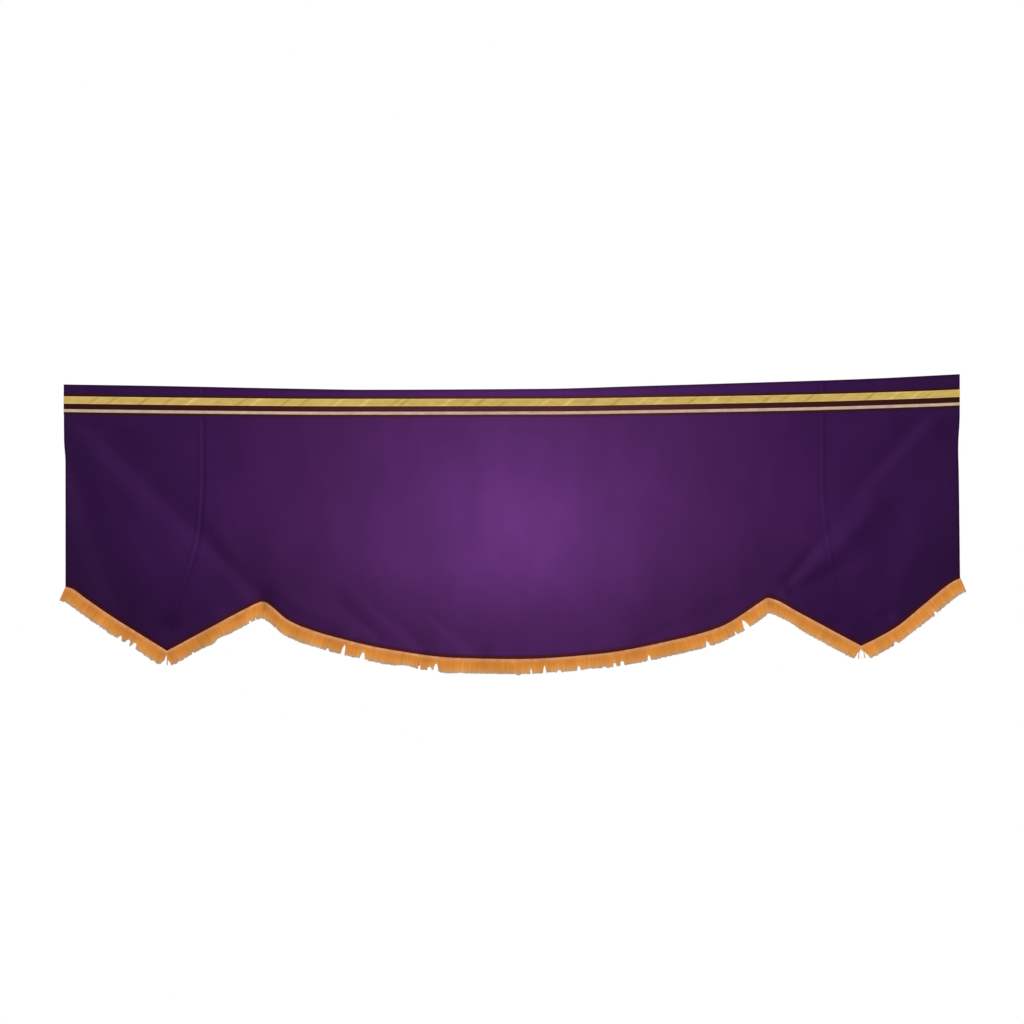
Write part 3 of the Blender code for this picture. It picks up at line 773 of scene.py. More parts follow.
# %% Faces of the cloth and its turned strips
CLOTH_THICKNESS = 0.0014
TURNED_THICKNESS = 0.0010
LAYER_GAP = 0.0001
CLOTH_HEIGHT = 0.7            # usual height of the cloth, which turns a length into a share
TOP_TURN = 0.026 / CLOTH_HEIGHT     # what the turned hems take, as shares of the way down
FOOT_TURN = 0.018 / CLOTH_HEIGHT


def cloth_front(x, z):
    """The front face of the cloth."""
    return Vector((x, -drape_forward(x, z) - fine_forward(x, z) - CLOTH_THICKNESS / 2, z))


def cloth_back(x, z):
    """The back face of the cloth."""
    return cloth_front(x, z) + Vector((0.0, CLOTH_THICKNESS, 0.0))


def add_turned_strip(bm, panel, across, down, lift):
    """A turned hem or seam allowance on the back: across and down are (from, to)."""
    columns = max(3, round((across[1] - across[0]) * panel.columns / 2))
    rows = max(2, round((down[1] - down[0]) * CLOTH_ROWS / 2))

    def place(i, j):
        x, z = panel_place(panel, between(*across, i / columns), between(*down, j / rows))
        return cloth_back(x, z) + Vector((0.0, lift, 0.0))

    add_sheet(bm, columns, rows, place, TURNED_THICKNESS)


print("cloth", 1000 * CLOTH_THICKNESS, "mm thick")

# %% Marks for the finish
EDGE_SHADE = 0.0070
WELT_RUB = 0.0050
LOW_SHADE = 0.42


def edge_distance(x, z):
    """Distance to the nearest free edge at the top or the sides."""
    sides = [abs(x - line_x[id(side)](z)) for side in (LEFT_SIDE, RIGHT_SIDE)]
    return min(*sides, abs(top_z(x) - z))


def mark_cloth(mesh):
    """Marks for the seams, with painted shade in their furrows, and for painted shade at the
    turned edges and the foot. A seam mark of 0.5 leaves no tint.
    """
    seam, turned, low = new_marks(mesh, *TINTS)
    for vert in mesh.vertices:
        x, _, z = vert.co
        distance = seam_distance(x, z)
        # Lighter on the rubbed welt, painted shade in the furrows beside it.
        rub_and_furrow_shade = bell(distance, WELT_RUB) - bell(distance - FURROW_PLACE, FURROW_WIDTH)
        seam[vert.index].value = 0.5 + 0.5 * rub_and_furrow_shade * seam_show(x, z)
        # Painted shade near the top and side edges.
        turned[vert.index].value = bell(edge_distance(x, z), EDGE_SHADE)
        # Painted shade: strongest at the hem, gone LOW_SHADE metres above it.
        low[vert.index].value = smooth_step(1 - (z - hem_z(x)) / LOW_SHADE)


print("the foot darkens over", LOW_SHADE, "m")


# %% Cut and hang the panels
def make_panel(panel):
    """One panel of cloth with its turned strips, as one piece."""
    shares = panel_columns(panel)
    bm = bmesh.new()

    def place(i, j):
        return cloth_front(*panel_place(panel, shares[i], j / CLOTH_ROWS))

    add_sheet(bm, len(shares) - 1, CLOTH_ROWS, place, CLOTH_THICKNESS)
    width = panel_width(panel)
    left = (panel.left_start / width, panel.left_hem / width)
    right = (1 - panel.right_hem / width, 1 - panel.right_start / width)
    add_turned_strip(bm, panel, (0.0, 1.0), (0.0, TOP_TURN), LAYER_GAP)
    add_turned_strip(bm, panel, (0.0, 1.0), (1 - FOOT_TURN, 1.0), LAYER_GAP)
    over = 2 * LAYER_GAP + TURNED_THICKNESS
    add_turned_strip(bm, panel, left, (0.0, 1.0), over)
    add_turned_strip(bm, panel, right, (0.0, 1.0), over)
    mesh = to_mesh(bm, panel.name)
    mark_cloth(mesh)
    piece = make_piece(panel.name, mesh, "cloth", purple)
    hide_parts(panel.node)
    return piece


cloths = [make_panel(panel) for panel in PANELS]

# %% [markdown]
# ## Ribbons on their tape
#
# The trim is woven narrow goods, sewn flat: a maroon tape, on it a satin ribbon one inch
# wide in gold, and a narrow cream ribbon below. Each is a long sheet that follows the ribbon
# line and lies on what is under it. A satin ribbon that long never lies quite flat: the gold
# one has shallow slanted ripples. Seeded chance sets where each one lies, and whether it
# tilts the satin to the key light or away from it. The tilt is also painted into the gold's
# colour: a painted highlight where it tilts to the light, painted shade where it tilts away.

# %% Finishes of the tape and the edging
TAPE_RIB = 0.0026


def tape_finish(name, stops):
    """A matt ribbed tape, with the same painted pool of light as the cloth: lighter in the
    middle.
    """
    material, nodes, links, shader = new_material(name, roughness=0.85, specular=0.03, sheen=0.0)
    glow, place = glow_gradient(nodes, links, GLOW_CENTRE, GLOW_REACH)
    links.new(colour_ramp(nodes, links, glow, stops), shader.inputs["Base Color"])
    ribs = thread_wave(nodes, links, place, "X", TAPE_RIB)
    add_bump(nodes, links, shader, ribs, distance=0.0003, strength=0.4)
    return material


maroon = tape_finish("maroon tape", [
    (0.10, (0.0260, 0.0060, 0.0040)),
    (0.45, (0.0400, 0.0090, 0.0075)),
    (0.75, (0.0720, 0.0170, 0.0210)),
])
wine = tape_finish("wine edging", [
    (0.10, (0.0330, 0.0035, 0.0070)),
    (0.75, (0.0540, 0.0075, 0.0130)),
])
print("tape ribs", 1000 * TAPE_RIB, "mm")

# %% Gold satin
SATIN_RIB = 0.0013
FLECK_TURN = math.radians(-30)

gold, nodes, links, shader = new_material("gold satin", roughness=0.42, specular=0.40, sheen=0.10)
shader.inputs["Metallic"].default_value = 0.10
place = object_place(nodes)
# Painted highlight and shade: the gold is lighter where a ripple tilts the satin to the key
# light, darker where it tilts away.
gilt = colour_ramp(nodes, links, read_mark(nodes, "sheen"), [
    (0.0, (0.420, 0.285, 0.055)),
    (0.5, (0.560, 0.390, 0.100)),
    (1.0, (0.700, 0.510, 0.170)),
])
# Painted sheen: slanted lighter and darker flecks across the satin.
flecks = soft_noise(nodes, links, place, scale=26.0, stretch=(1.0, 1.0, 2.8), turn=FLECK_TURN)
gilt = tint(nodes, links, gilt, flecks, [
    (0.35, (0.93, 0.92, 0.88)),
    (0.65, (1.06, 1.07, 1.10)),
])
# Painted highlight: the satin turns paler and lighter towards its rims.
gilt = tint(nodes, links, gilt, read_mark(nodes, "rim"), [
    (0.0, (0.96, 0.95, 0.90)),
    (1.0, (1.14, 1.20, 1.60)),
])
links.new(gilt, shader.inputs["Base Color"])
ribs = thread_wave(nodes, links, place, "Z", SATIN_RIB)
add_bump(nodes, links, shader, ribs, distance=0.0002, strength=0.35)
print("satin ribs", 1000 * SATIN_RIB, "mm")

# %% Cream ribbon
CREAM_RIB = 0.0020

cream, nodes, links, shader = new_material("cream ribbon", roughness=0.50, specular=0.35,
                                           sheen=0.10)
place = object_place(nodes)
threads = soft_noise(nodes, links, place, scale=30.0, stretch=(1.0, 1.0, 4.0))
ivory = colour_ramp(nodes, links, threads, [
    (0.35, (0.430, 0.300, 0.235)),
    (0.65, (0.530, 0.375, 0.305)),
])
links.new(ivory, shader.inputs["Base Color"])
ribs = thread_wave(nodes, links, place, "X", CREAM_RIB)
add_bump(nodes, links, shader, ribs, distance=0.0002, strength=0.35)
print("cream ribs", 1000 * CREAM_RIB, "mm")

# %% Trims, from the cloth outwards
Trim = namedtuple("Trim", "name node slot drop width lift thickness rows")
TAPE_THICKNESS = 0.0008
RIBBON_THICKNESS = 0.0008
ON_CLOTH = 0.0006
ON_TAPE = ON_CLOTH + TAPE_THICKNESS + LAYER_GAP
TAPE = Trim("tape_maroon", "trim_tape", "maroon_tape", TAPE_DROP, TAPE_WIDTH,
            ON_CLOTH, TAPE_THICKNESS, 6)
GOLD_RIBBON = Trim("ribbon_gold_satin", "ribbon_gold", "gold_ribbon", 0.0004, 0.0250,
                   ON_TAPE, RIBBON_THICKNESS, 8)
CREAM_RIBBON = Trim("ribbon_cream_satin", "ribbon_cream", "cream_ribbon", 0.044, 0.010,
                    ON_TAPE, RIBBON_THICKNESS, 4)
print("gold", 1000 * GOLD_RIBBON.width, "mm, cream", 1000 * CREAM_RIBBON.width, "mm")

# %% Ripples in the satin
Ripple = namedtuple("Ripple", "x tilt")
RIPPLE_SEED = 26
RIPPLE_COUNT = 35
RIPPLE_START = -1.44
RIPPLE_SPACING = 0.085
RIPPLE_WANDER = 0.4           # share of the spacing
RIPPLE_TILT = (0.07, 0.16)
RIPPLE_SLANT = 1.4            # how far a ripple runs along the ribbon for each unit down
RIPPLE_WIDTH = 0.008
SHEEN_RANGE = 0.36            # tilt from the darkest painted shade to the brightest painted highlight
RIM_POWER = 4                 # how suddenly the rim begins


def next_ripple(k, chance):
    """Ripple number k along the ribbon, a little off its even place."""
    wander = chance.uniform(-RIPPLE_WANDER, RIPPLE_WANDER)
    tilt = chance.uniform(*RIPPLE_TILT) * chance.choice((-1, 1))
    return Ripple(RIPPLE_START + RIPPLE_SPACING * (k + wander), tilt)


ripple_chance = random.Random(RIPPLE_SEED)
RIBBON_RIPPLES = [next_ripple(k, ripple_chance) for k in range(RIPPLE_COUNT)]


def satin_tilts(x, below):
    """Distance from each ripple's slanted line, in ripple widths, with its tilt."""
    along = x + RIPPLE_SLANT * (below - GOLD_RIBBON.drop - GOLD_RIBBON.width / 2)
    return [((along - ripple.x) / RIPPLE_WIDTH, ripple.tilt) for ripple in RIBBON_RIPPLES]


def satin_rise(x, below):
    """How far the ripples raise the satin: a shallow S across each of them."""
    return sum(tilt * RIPPLE_WIDTH * off * bell(off, 1.0) for off, tilt in satin_tilts(x, below))


def mark_satin(mesh):
    """Marks for the satin: how it is tilted, for its painted highlight and shade, and how near to
    a rim it is, for the painted highlight along its rims.
    """
    sheen, rim = new_marks(mesh, "sheen", "rim")
    for vert in mesh.vertices:
        below = ribbon_z(vert.co.x) - vert.co.z
        tilt = sum(tilt * bell(off, 1.0) for off, tilt in satin_tilts(vert.co.x, below))
        sheen[vert.index].value = min(1.0, max(0.0, 0.5 + tilt / SHEEN_RANGE))
        share = (below - GOLD_RIBBON.drop) / GOLD_RIBBON.width
        rim[vert.index].value = abs(2 * share - 1) ** RIM_POWER


print(len(RIBBON_RIPPLES), "ripples")

# %% Lay the tape and the ribbons
TRIM_STEP = 0.005
SATIN_STEP = 0.0025
SATIN_REST = 0.0003           # the rippled satin stands this far off the tape


def make_trim(trim, material, step=TRIM_STEP, rise=None):
    """A long sheet on the front of the cloth, along the ribbon line."""
    columns = round(2 * HALF_WIDTH / step)
    bm = bmesh.new()

    def place(i, j):
        x = between(-HALF_WIDTH, HALF_WIDTH, i / columns)
        below = trim.drop + trim.width * j / trim.rows
        z = ribbon_z(x) - below
        forward = drape_forward(x, z) + CLOTH_THICKNESS / 2 + trim.lift + trim.thickness
        if rise:
            forward += SATIN_REST + math.sin(math.pi * j / trim.rows) * rise(x, below)
        return Vector((x, -forward, z))

    add_sheet(bm, columns, trim.rows, place, trim.thickness)
    mesh = to_mesh(bm, trim.name)
    if rise:
        mark_satin(mesh)
    piece = make_piece(trim.name, mesh, trim.slot, material)
    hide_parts(trim.node)
    return piece


tape = make_trim(TAPE, maroon)
gold_ribbon = make_trim(GOLD_RIBBON, gold, SATIN_STEP, satin_rise)
cream_ribbon = make_trim(CREAM_RIBBON, cream)

# %% [markdown]
# ## Walking along the hem
#
# The edging, the fringe heading and the yarns all follow the hem. `HemWalk` measures one
# stretch of it in small steps and gives the place and the downward direction at any
# distance along it. Where two stretches meet in a point or a notch, their ends are cut on
# the line between them, as a maker mitres a braid.

# %% Points and directions of the hem
HEM_STEP = 0.004


def downward(a, b):
    """Direction in the banner's plane that leaves a stretch of hem at a right angle."""
    return Vector((b.z - a.z, 0.0, a.x - b.x)).normalized()


def hem_point(x):
    """A point of the hem, at the middle of the cloth's thickness."""
    z = hem_z(x)
    return Vector((x, -drape_forward(x, z) - fine_forward(x, z), z))


def mitre(x):
    """Direction of the cut between two stretches that meet at a place."""
    before = downward(hem_point(x - HEM_STEP), hem_point(x))
    after = downward(hem_point(x), hem_point(x + HEM_STEP))
    middle = (before + after).normalized()
    return middle / middle.dot(after)


print("left notch at", [round(c, 3) for c in hem_point(LEFT_NOTCH_X)], "m")


# %% A walk along the hem
class HemWalk:
    """One stretch of the hem, measured from its left end."""

    def __init__(self, x1, x2):
        count = round((x2 - x1) / HEM_STEP)
        self.points = [hem_point(between(x1, x2, k / count)) for k in range(count + 1)]
        self.ways = [downward(a, b) for a, b in zip(self.points, self.points[1:])]
        self.corners = [self.ways[0]]
        self.corners += [(a + b).normalized() for a, b in zip(self.ways, self.ways[1:])]
        self.corners.append(self.ways[-1])
        if x1 > LEFT_END_X:
            self.corners[0] = mitre(x1)
        if x2 < RIGHT_END_X:
            self.corners[-1] = mitre(x2)
        self.reaches = [0.0]
        for a, b in zip(self.points, self.points[1:]):
            self.reaches.append(self.reaches[-1] + math.hypot(b.x - a.x, b.z - a.z))
        self.length = self.reaches[-1]

    def at(self, distance):
        """The point of the hem and the way down at a distance from the left end."""
        distance = min(self.length, max(0.0, distance))
        k = min(bisect_right(self.reaches, distance), len(self.reaches) - 1) - 1
        share = (distance - self.reaches[k]) / (self.reaches[k + 1] - self.reaches[k])
        point = self.points[k].lerp(self.points[k + 1], share)
        return point, self.corners[k].lerp(self.corners[k + 1], share)


HemStretch = namedtuple("HemStretch", "name node x1 x2")
HEM_STRETCHES = [
    HemStretch("fine_fringe_left_outer", "fringe_left_outer", LEFT_END_X, LEFT_POINT_X),
    HemStretch("fine_fringe_left_inner", "fringe_left_inner", LEFT_POINT_X, LEFT_NOTCH_X),
    HemStretch("fine_fringe_centre", "fringe_centre", LEFT_NOTCH_X, RIGHT_NOTCH_X),
    HemStretch("fine_fringe_right_inner", "fringe_right_inner", RIGHT_NOTCH_X, RIGHT_POINT_X),
    HemStretch("fine_fringe_right_outer", "fringe_right_outer", RIGHT_POINT_X, RIGHT_END_X),
]
walks = {stretch.name: HemWalk(stretch.x1, stretch.x2) for stretch in HEM_STRETCHES}
print("hem:", round(sum(walk.length for walk in walks.values()), 3), "m")

# %% [markdown]
# ## Dark edging
#
# A narrow wine-red edging covers the place where the fringe is sewn to the cloth. It is one
# long sheet, eleven millimetres wide, that lies on the face of the cloth along the hem and
# just covers the upper edge of the fringe heading.

# %% Edging
EDGING_ABOVE = 0.0092
EDGING_BELOW = 0.0018
EDGING_ROWS = 3
EDGING_LIFT = 0.0008          # its lower edge rides over the ribs of the heading


def hem_samples(step):
    """Points of the whole hem, each with its way down, at even steps on each stretch."""
    samples = []
    for stretch in HEM_STRETCHES:
        walk = walks[stretch.name]
        count = round(walk.length / step)
        start = 1 if samples else 0
        samples += [walk.at(walk.length * k / count) for k in range(start, count + 1)]
    return samples


def edging_face(point, way, share):
    """A place on the front of the edging: share runs from its upper edge to its lower one."""
    spot = point + way * between(-EDGING_ABOVE, EDGING_BELOW, share)
    forward = drape_forward(spot.x, spot.z) + fine_forward(spot.x, spot.z)
    out = CLOTH_THICKNESS / 2 + ON_CLOTH + TAPE_THICKNESS
    out += EDGING_LIFT * smooth_step(share)
    return Vector((spot.x, -forward - out, spot.z))


def make_edging():
    """The edging, as one sheet along the whole hem."""
    bm = bmesh.new()
    samples = hem_samples(TRIM_STEP)

    def place(i, j):
        return edging_face(*samples[i], j / EDGING_ROWS)

    add_sheet(bm, len(samples) - 1, EDGING_ROWS, place, TAPE_THICKNESS)
    piece = make_piece("edging_maroon", to_mesh(bm, "edging_maroon"), "maroon_tape", wine)
    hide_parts("hem_edging")
    return piece


edging = make_edging()

# %% [markdown]
# ## Small parts in rows
#
# Yarns, braid ribs and stitches repeat by the thousand. One small part is modelled, an Array
# modifier makes the copies, all in one spot, and then each copy is moved to its own place.

# %% A row of copies
def repeat(part, count):
    """A mesh of count copies of a small bmesh, and how many vertices each copy has."""
    each = len(part.verts)
    carrier = bpy.data.objects.new("carrier", to_mesh(part, "carrier"))
    bpy.context.scene.collection.objects.link(carrier)
    array = carrier.modifiers.new("copies", "ARRAY")
    array.use_relative_offset = False
    array.count = count
    seen = carrier.evaluated_get(bpy.context.evaluated_depsgraph_get())
    row = bpy.data.meshes.new_from_object(seen)
    one = carrier.data
    bpy.data.objects.remove(carrier)
    bpy.data.meshes.remove(one)
    return row, each


def thin_bar(sides, radius, tip_radius):
    """An upright bar, one unit long, which may taper: what a rib, yarn or stitch starts as."""
    part = bmesh.new()
    bmesh.ops.create_cone(part, cap_ends=True, segments=sides, radius1=radius,
                          radius2=tip_radius, depth=1.0)
    return part


print("ribs, yarns and stitches start as thin bars")

# %% [markdown]
# ## Fringe heading
#
# The yarns hang from a woven heading, a flat braid nine millimetres deep in a paler, peach
# shade. It is a crowned strip with slanted ribs on both faces.

# %% Heading finish
heading_dye, nodes, links, shader = new_material("fringe heading", roughness=0.75, specular=0.20,
                                                 sheen=0.10)
fuzz = soft_noise(nodes, links, object_place(nodes), scale=60.0)
peach = colour_ramp(nodes, links, fuzz, [
    (0.35, (0.600, 0.270, 0.105)),
    (0.65, (0.720, 0.350, 0.155)),
])
links.new(peach, shader.inputs["Base Color"])
print("heading: peach")

# %% Yarn finish: its colour from root to tip, its own tone, clouds and twisted plies
yarn_dye, nodes, links, shader = new_material("fringe yarn", roughness=0.70, specular=0.10,
                                              sheen=0.05)
orange = colour_ramp(nodes, links, read_mark(nodes, "depth"), [
    (0.00, (0.66, 0.32, 0.10)),
    (0.22, (0.65, 0.26, 0.045)),
    (0.60, (0.70, 0.30, 0.05)),
    # Towards the tip the yarn turns greyer and darker.
    (0.85, (0.64, 0.35, 0.15)),
    (0.94, (0.56, 0.37, 0.20)),
    (1.00, (0.40, 0.30, 0.20)),
])
orange = tint(nodes, links, orange, read_mark(nodes, "tone"), [
    (0.0, (0.90, 0.87, 0.84)),
    (1.0, (1.08, 1.09, 1.10)),
])
clouds = soft_noise(nodes, links, object_place(nodes), scale=14.0)
orange = tint(nodes, links, orange, clouds, [
    (0.30, (0.92, 0.90, 0.86)),
    (0.70, (1.06, 1.07, 1.10)),
])
turns = nodes.new("ShaderNodeCombineXYZ")
links.new(read_mark(nodes, "twist"), turns.inputs["X"])
plies = thread_wave(nodes, links, turns.outputs["Vector"], "X", period=1.0)
# Painted shade and highlight: the yarn is darker in the grooves between its plies and lighter on
# their crests.
orange = tint(nodes, links, orange, plies, [
    (0.0, (0.88, 0.84, 0.80)),
    (1.0, (1.06, 1.07, 1.08)),
])
links.new(orange, shader.inputs["Base Color"])
add_bump(nodes, links, shader, plies, distance=0.0002, strength=0.6)
print("yarn: orange")

# %% Heading braid
FRINGE_PARTING = 0.0006
HEADING_DEPTH = 0.009
HEADING_THICKNESS = 0.0022
HEADING_STEP = 0.006
HEADING_ROWS = 4
RIB_PITCH = 0.0024
RIB_RADIUS = 0.0009
RIB_SLANT = 0.0016
RIB_SIDES = 5
RIB_TOP = 0.25                # shares of the heading's depth: where a rib starts
RIB_SPAN = 0.70               # and how much of the depth it takes


def heading_place(walk, distance, share):
    """A place on the heading: distance along it, and share of its depth from 0 to 1."""
    point, way = walk.at(distance)
    return point + way * (FRINGE_PARTING + HEADING_DEPTH * share)


def add_heading_strip(bm, walk):
    """The flat strip under the ribs."""
    columns = round(walk.length / HEADING_STEP)

    def place(i, j):
        spot = heading_place(walk, walk.length * i / columns, j / HEADING_ROWS)
        return spot + Vector((0.0, -HEADING_THICKNESS / 2, 0.0))

    add_sheet(bm, columns, HEADING_ROWS, place, HEADING_THICKNESS)


def add_heading_ribs(bm, walk):
    """Slanted ribs across the heading, on its front and its back."""
    count = round(walk.length / RIB_PITCH)
    row, each = repeat(thin_bar(RIB_SIDES, RIB_RADIUS, RIB_RADIUS), 2 * count)
    for vert in row.vertices:
        k = vert.index // each
        share = RIB_TOP + RIB_SPAN * (0.5 - vert.co.z)
        face = -1 if k < count else 1
        distance = (k % count + 0.5) * walk.length / count
        lean = RIB_SLANT * (share - 0.5) * face
        spot = heading_place(walk, distance + lean + vert.co.x, share)
        spot.y += face * HEADING_THICKNESS / 2 + vert.co.y
        vert.co = spot
    bm.from_mesh(row)
    bpy.data.meshes.remove(row)


print("rib pitch", 1000 * RIB_PITCH, "mm")

# %% [markdown]
# ## Fringe yarns
#
# The skirt of the fringe is thousands of twisted yarns in two layers. They leave the hem at
# a right angle, share out its turns, and part in a V at each point. Neighbours cling
# together in little locks, so the fringe is streaky, and it is worn: some places are short
# or parted. The rows say where.

# %% How the yarns spread
YARN_LENGTH = 0.045
YARN_RADIUS = 0.00075
YARN_PITCH = 0.00125
YARN_SEED = 41
TURN_SPREAD = 0.095
TURN_SAMPLES = 10
CALM_REACH = 0.060
CALM_SAMPLES = 6
Fan = namedtuple("Fan", "x reach share")
FANS = [
    Fan(LEFT_END_X, 0.045, 0.25),
    Fan(LEFT_POINT_X, -0.035, 0.35),
    Fan(LEFT_POINT_X, 0.030, 0.85),
    Fan(RIGHT_POINT_X, -0.030, 0.45),
    Fan(RIGHT_POINT_X, 0.030, -0.15),
    Fan(RIGHT_END_X, -0.045, 0.30),
]
print("yarns", 1000 * YARN_LENGTH, "mm long,", 1000 * YARN_PITCH, "mm apart")

# %% Where the fringe is worn
UnevenStretch = namedtuple("UnevenStretch", "x reach change")
PLAIN_SHARE = 0.95
UNEVEN_STRETCHES = [
    UnevenStretch(-1.33, 0.04, 0.06),
    UnevenStretch(-1.19, 0.05, 0.08),
    UnevenStretch(-1.04, 0.02, 0.07),
    UnevenStretch(-1.01, 0.02, -0.10),
    UnevenStretch(-0.85, 0.03, 0.13),
    UnevenStretch(-0.79, 0.02, -0.06),
    UnevenStretch(-0.70, 0.02, 0.04),
    UnevenStretch(-0.50, 0.02, -0.07),
    UnevenStretch(-0.35, 0.03, -0.15),
    UnevenStretch(-0.27, 0.02, -0.10),
    UnevenStretch(-0.22, 0.02, 0.05),
    UnevenStretch(0.02, 0.01, 0.08),
    UnevenStretch(0.13, 0.03, -0.05),
    UnevenStretch(0.26, 0.04, -0.08),
    UnevenStretch(0.73, 0.02, -0.08),
    UnevenStretch(0.85, 0.03, 0.06),
    UnevenStretch(0.96, 0.04, -0.15),
    UnevenStretch(1.21, 0.02, 0.04),
    UnevenStretch(1.33, 0.03, -0.08),
    UnevenStretch(1.41, 0.01, 0.06),
]
Gap = namedtuple("Gap", "x width depth")
GAPS = [
    Gap(-1.310, 0.014, 0.013), Gap(-1.285, 0.015, 0.018), Gap(-1.265, 0.016, 0.018),
    Gap(-1.172, 0.014, 0.022), Gap(-1.105, 0.012, 0.005), Gap(-0.900, 0.008, 0.008),
    Gap(-0.875, 0.007, 0.009), Gap(-0.615, 0.010, 0.008), Gap(-0.565, 0.014, 0.032),
    Gap(-0.500, 0.018, 0.022), Gap(-0.310, 0.010, 0.013), Gap(-0.275, 0.015, 0.010),
    Gap(-0.255, 0.018, 0.024), Gap(0.065, 0.006, 0.024), Gap(0.110, 0.012, 0.024),
    Gap(0.160, 0.015, 0.008), Gap(0.225, 0.012, 0.016), Gap(0.310, 0.015, 0.005),
    Gap(0.345, 0.014, 0.014), Gap(0.370, 0.014, 0.018), Gap(0.460, 0.012, 0.020),
    Gap(0.655, 0.013, 0.018), Gap(0.745, 0.006, 0.016), Gap(0.780, 0.019, 0.031),
    Gap(1.187, 0.018, 0.033), Gap(1.285, 0.012, 0.010), Gap(1.415, 0.010, 0.011),
]
Stray = namedtuple("Stray", "stretch x1 z1 x2 z2")
STRAYS = [
    Stray("fine_fringe_left_inner", -1.173, -0.896, -1.172, -0.940),
    Stray("fine_fringe_right_inner", 1.182, -0.880, 1.180, -0.918),
    Stray("fine_fringe_right_outer", 1.195, -0.880, 1.202, -0.916),
]
print(len(UNEVEN_STRETCHES), "uneven stretches,", len(GAPS), "gaps and", len(STRAYS), "strays")


# %% How the yarns hang
def fringe_share(x):
    """Length of the fringe at x as a share of the full one: some stretches are worn short."""
    return PLAIN_SHARE + sum(stretch.change * bell(x - stretch.x, stretch.reach)
                             for stretch in UNEVEN_STRETCHES)


def smooth_run(x):
    """Ends of the stretch of hem, from point to point, that a place belongs to."""
    if x <= LEFT_POINT_X:
        return LEFT_END_X, LEFT_POINT_X
    if x >= RIGHT_POINT_X:
        return RIGHT_POINT_X, RIGHT_END_X
    return LEFT_POINT_X, RIGHT_POINT_X


def yarn_way(x, run):
    """The way a yarn hangs: at a right angle to the hem, with every turn shared out."""
    x = min(max(x, run[0]), run[1])
    start = max(run[0], x - TURN_SPREAD)
    end = min(run[1], x + TURN_SPREAD)
    places = [between(start, end, k / TURN_SAMPLES) for k in range(TURN_SAMPLES + 1)]
    spots = [Vector((place, 0.0, hem_z(place))) for place in places]
    total = Vector((0.0, 0.0, 0.0))
    for a, b in zip(spots, spots[1:]):
        total += downward(a, b)
    way = total.normalized()
    for fan in FANS:
        off = (x - fan.x) / fan.reach
        if 0 <= off <= 1:
            way = way.lerp(Vector((0.0, 0.0, -1.0)), fan.share * smooth_step(1 - off))
    return way.normalized()


def calm_depth(x):
    """Depth of the hem, evened out: loose yarns hang straighter than the cloth."""
    places = [between(x - CALM_REACH, x + CALM_REACH, k / CALM_SAMPLES)
              for k in range(CALM_SAMPLES + 1)]
    return sum(hem_point(place).y for place in places) / len(places)


print("yarns hang", [round(c, 2) for c in yarn_way(0.0, smooth_run(0.0))], "in the middle")

# %% One yarn
YARN_SIDES = 4
YARN_TAPER = 0.8
YARN_ROOT = 0.85              # share of the heading's depth at which the yarns leave it
PLACE_STEP = 0.002
TWIST_PITCH = 0.0022
TWIST_SLANT = 0.30
YARN_CUTS = 4
LAYER_DEPTH = 0.0008
LAYER_BULGE = 0.8             # how much further apart the layers stand at half their length
TIP_SPREAD = 0.0006
LOCK_SCALE = 95.0
LOCK_PULL = 0.0016
TIP_UNEVEN = 0.0022
RAGGED = 0.0026               # neighbouring tips rise and fall together by this much
RAGGED_SCALE = 160.0
RAGGED_PLANE = 5.0            # another plane of the noise than the locks read
# worn: a yarn takes at least the colour of this share down, greyer and darker near the tip.
Yarn = namedtuple("Yarn", "root way side length sway drift tone layer worn")


def yarn_part():
    """One straight yarn, one unit long, cut into short lengths."""
    part = thin_bar(YARN_SIDES, YARN_RADIUS, YARN_RADIUS * YARN_TAPER)
    upright = [edge for edge in part.edges
               if abs(edge.verts[0].co.z - edge.verts[1].co.z) > 0.5]
    bmesh.ops.subdivide_edges(part, edges=upright, cuts=YARN_CUTS)
    bmesh.ops.triangulate(part, faces=[face for face in part.faces if len(face.verts) > 4])
    return part


def worn_length(x, length):
    """Length of a yarn that starts at x, where the fringe may be gapped."""
    for gap in GAPS:
        off = abs(x - gap.x) / (gap.width / 2)
        if off < 1:
            return length - gap.depth * (1 - off ** 2)
    return length


def spin_yarn(walk, run, distance, layer, chance):
    """Decide one yarn: where it starts, how it hangs, and how long and bright it is."""
    root = heading_place(walk, distance, YARN_ROOT)
    way = yarn_way(root.x, run)
    side = Vector((-way.z, 0.0, way.x))
    length = YARN_LENGTH * fringe_share(root.x) + HEADING_DEPTH * (1 - YARN_ROOT)
    length += TIP_UNEVEN * chance.uniform(-1, 1)
    length += RAGGED * noise.noise(Vector((distance * RAGGED_SCALE, run[0], RAGGED_PLANE)))
    length = worn_length(root.x, length)
    sway = LOCK_PULL * noise.noise(Vector((distance * LOCK_SCALE, run[0], 0.0)))
    sway += TIP_SPREAD * chance.uniform(-1, 1)
    drift = calm_depth(root.x) - root.y
    return Yarn(root, way, side, length, sway, drift, tone=chance.random(), layer=layer,
                worn=0.0)


def hang(yarn, co):
    """Where a vertex of the straight yarn goes: co.z runs from 0.5 at the root to -0.5."""
    down = 0.5 - co.z
    spot = yarn.root + yarn.way * (yarn.length * down)
    spot += yarn.side * (co.x + yarn.sway * down * down)
    spot.y += co.y + yarn.drift * smooth_step(down)
    spot.y += yarn.layer * LAYER_DEPTH * (1 + LAYER_BULGE * math.sin(math.pi * down))
    return spot


print("locks pull", 1000 * LOCK_PULL, "mm")

